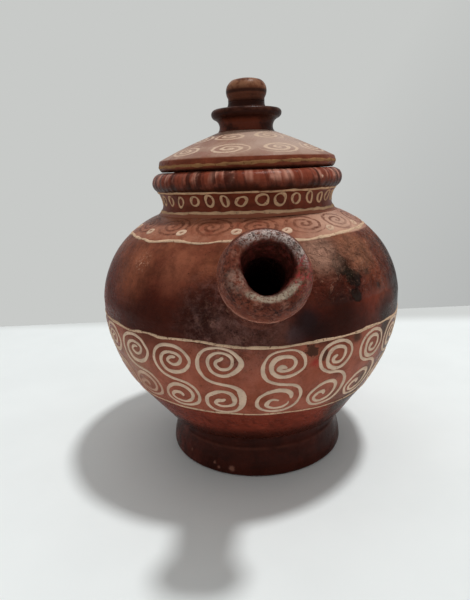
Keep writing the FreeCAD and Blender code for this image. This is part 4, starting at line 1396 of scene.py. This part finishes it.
def table():
    """A pale table top whose far edge fades into the wall."""
    side, near, far = 1200.0, -1400.0, 236.0
    corners = [Vector((x, y, 0)) for x, y in ((-side, near), (side, near), (side, far), (-side, far))]
    top = mesh_object("table_top", corners, [(0, 1, 2, 3)], flat=True)
    clay = Clay("table_paint", 0.6)
    clay.colour = clay.mix(clay.noise(60.0).step(0.3, 0.7), (236, 241, 241), (233, 238, 238))
    clay.paint((clay.y + clay.x * 0.089).step(196.0, 232.0), (205, 208, 207))
    top.data.materials.append(clay.finish())
    top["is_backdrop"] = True


def room():
    """A plain wall with painted shade towards the lower right, and an even light all round."""
    world = bpy.data.worlds.new("room")
    bpy.context.scene.world = world
    world.use_nodes = True
    tree = world.node_tree
    tree.nodes.clear()
    sight = add_node(tree, "SeparateXYZ", {0: add_node(tree, "TexCoord").outputs["Generated"]}).outputs
    lowered = add_node(tree, "Math", {0: sight[2], 1: -0.6, 2: sight[0]}, operation="MULTIPLY_ADD").outputs[0]
    levels = {"Value": lowered, "From Min": 0.2, "From Max": 0.6}
    greys = {0: add_node(tree, "MapRange", levels).outputs["Result"], 6: (200, 202, 200), 7: (182, 184, 183)}
    backdrop = add_node(tree, "Mix", greys, data_type="RGBA").outputs[2]
    seen = add_node(tree, "Background", {"Color": backdrop}).outputs[0]
    ambient = add_node(tree, "Background", {"Color": (1.0, 0.99, 0.975, 1.0), "Strength": 0.43}).outputs[0]
    camera_ray = add_node(tree, "LightPath").outputs["Is Camera Ray"]
    blend = add_node(tree, "MixShader", {0: camera_ray, 1: ambient, 2: seen}).outputs[0]
    add_node(tree, "OutputWorld", {"Surface": blend})


def lamp(name, place, aim, size, power):
    """A round lamp at a place, aimed at another, in metres and watts."""
    data = bpy.data.lights.new(name, "AREA")
    data.shape = "DISK"
    data.size = size
    data.energy = power
    item = bpy.data.objects.new(name, data)
    item.location = place
    item.rotation_mode = "QUATERNION"
    item.rotation_quaternion = (Vector(aim) - Vector(place)).to_track_quat("-Z", "Y")
    item.visible_camera = False
    bpy.context.scene.collection.objects.link(item)


table()
room()
lamp("ceiling_lamp", (0.6, 0.1, 2.5), (0, 0, 0.08), 0.28, 37.5)
lamp("soft_panel", (-0.4, 1.3, 1.9), (0, 0, 0.05), 2.4, 4.5)

# Camera, fitted to the photograph's outline of the jug

# The focal length and the picture's height, in pixels of the picture
FOCAL_LENGTH, PICTURE_HEIGHT = 490.0, 600.0
camera = bpy.data.cameras.new("camera")
camera.sensor_width = 36.0
camera.lens = camera.sensor_width * FOCAL_LENGTH / PICTURE_HEIGHT
camera.clip_start = 0.01
camera.clip_end = 20.0
eye = bpy.data.objects.new("camera", camera)
bpy.context.scene.collection.objects.link(eye)
right = Vector((0.9988, -0.03201, -0.03717))
back = right.cross(Vector((0.04398, 0.24862, 0.9676)))
eye.matrix_world = Matrix((right, back.cross(right), back)).transposed().to_4x4()
eye.matrix_world.translation = (-0.01417, -0.26155, 0.14597)
bpy.context.scene.camera = eye
bpy.context.scene.view_settings.view_transform = "Standard"

low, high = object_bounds()
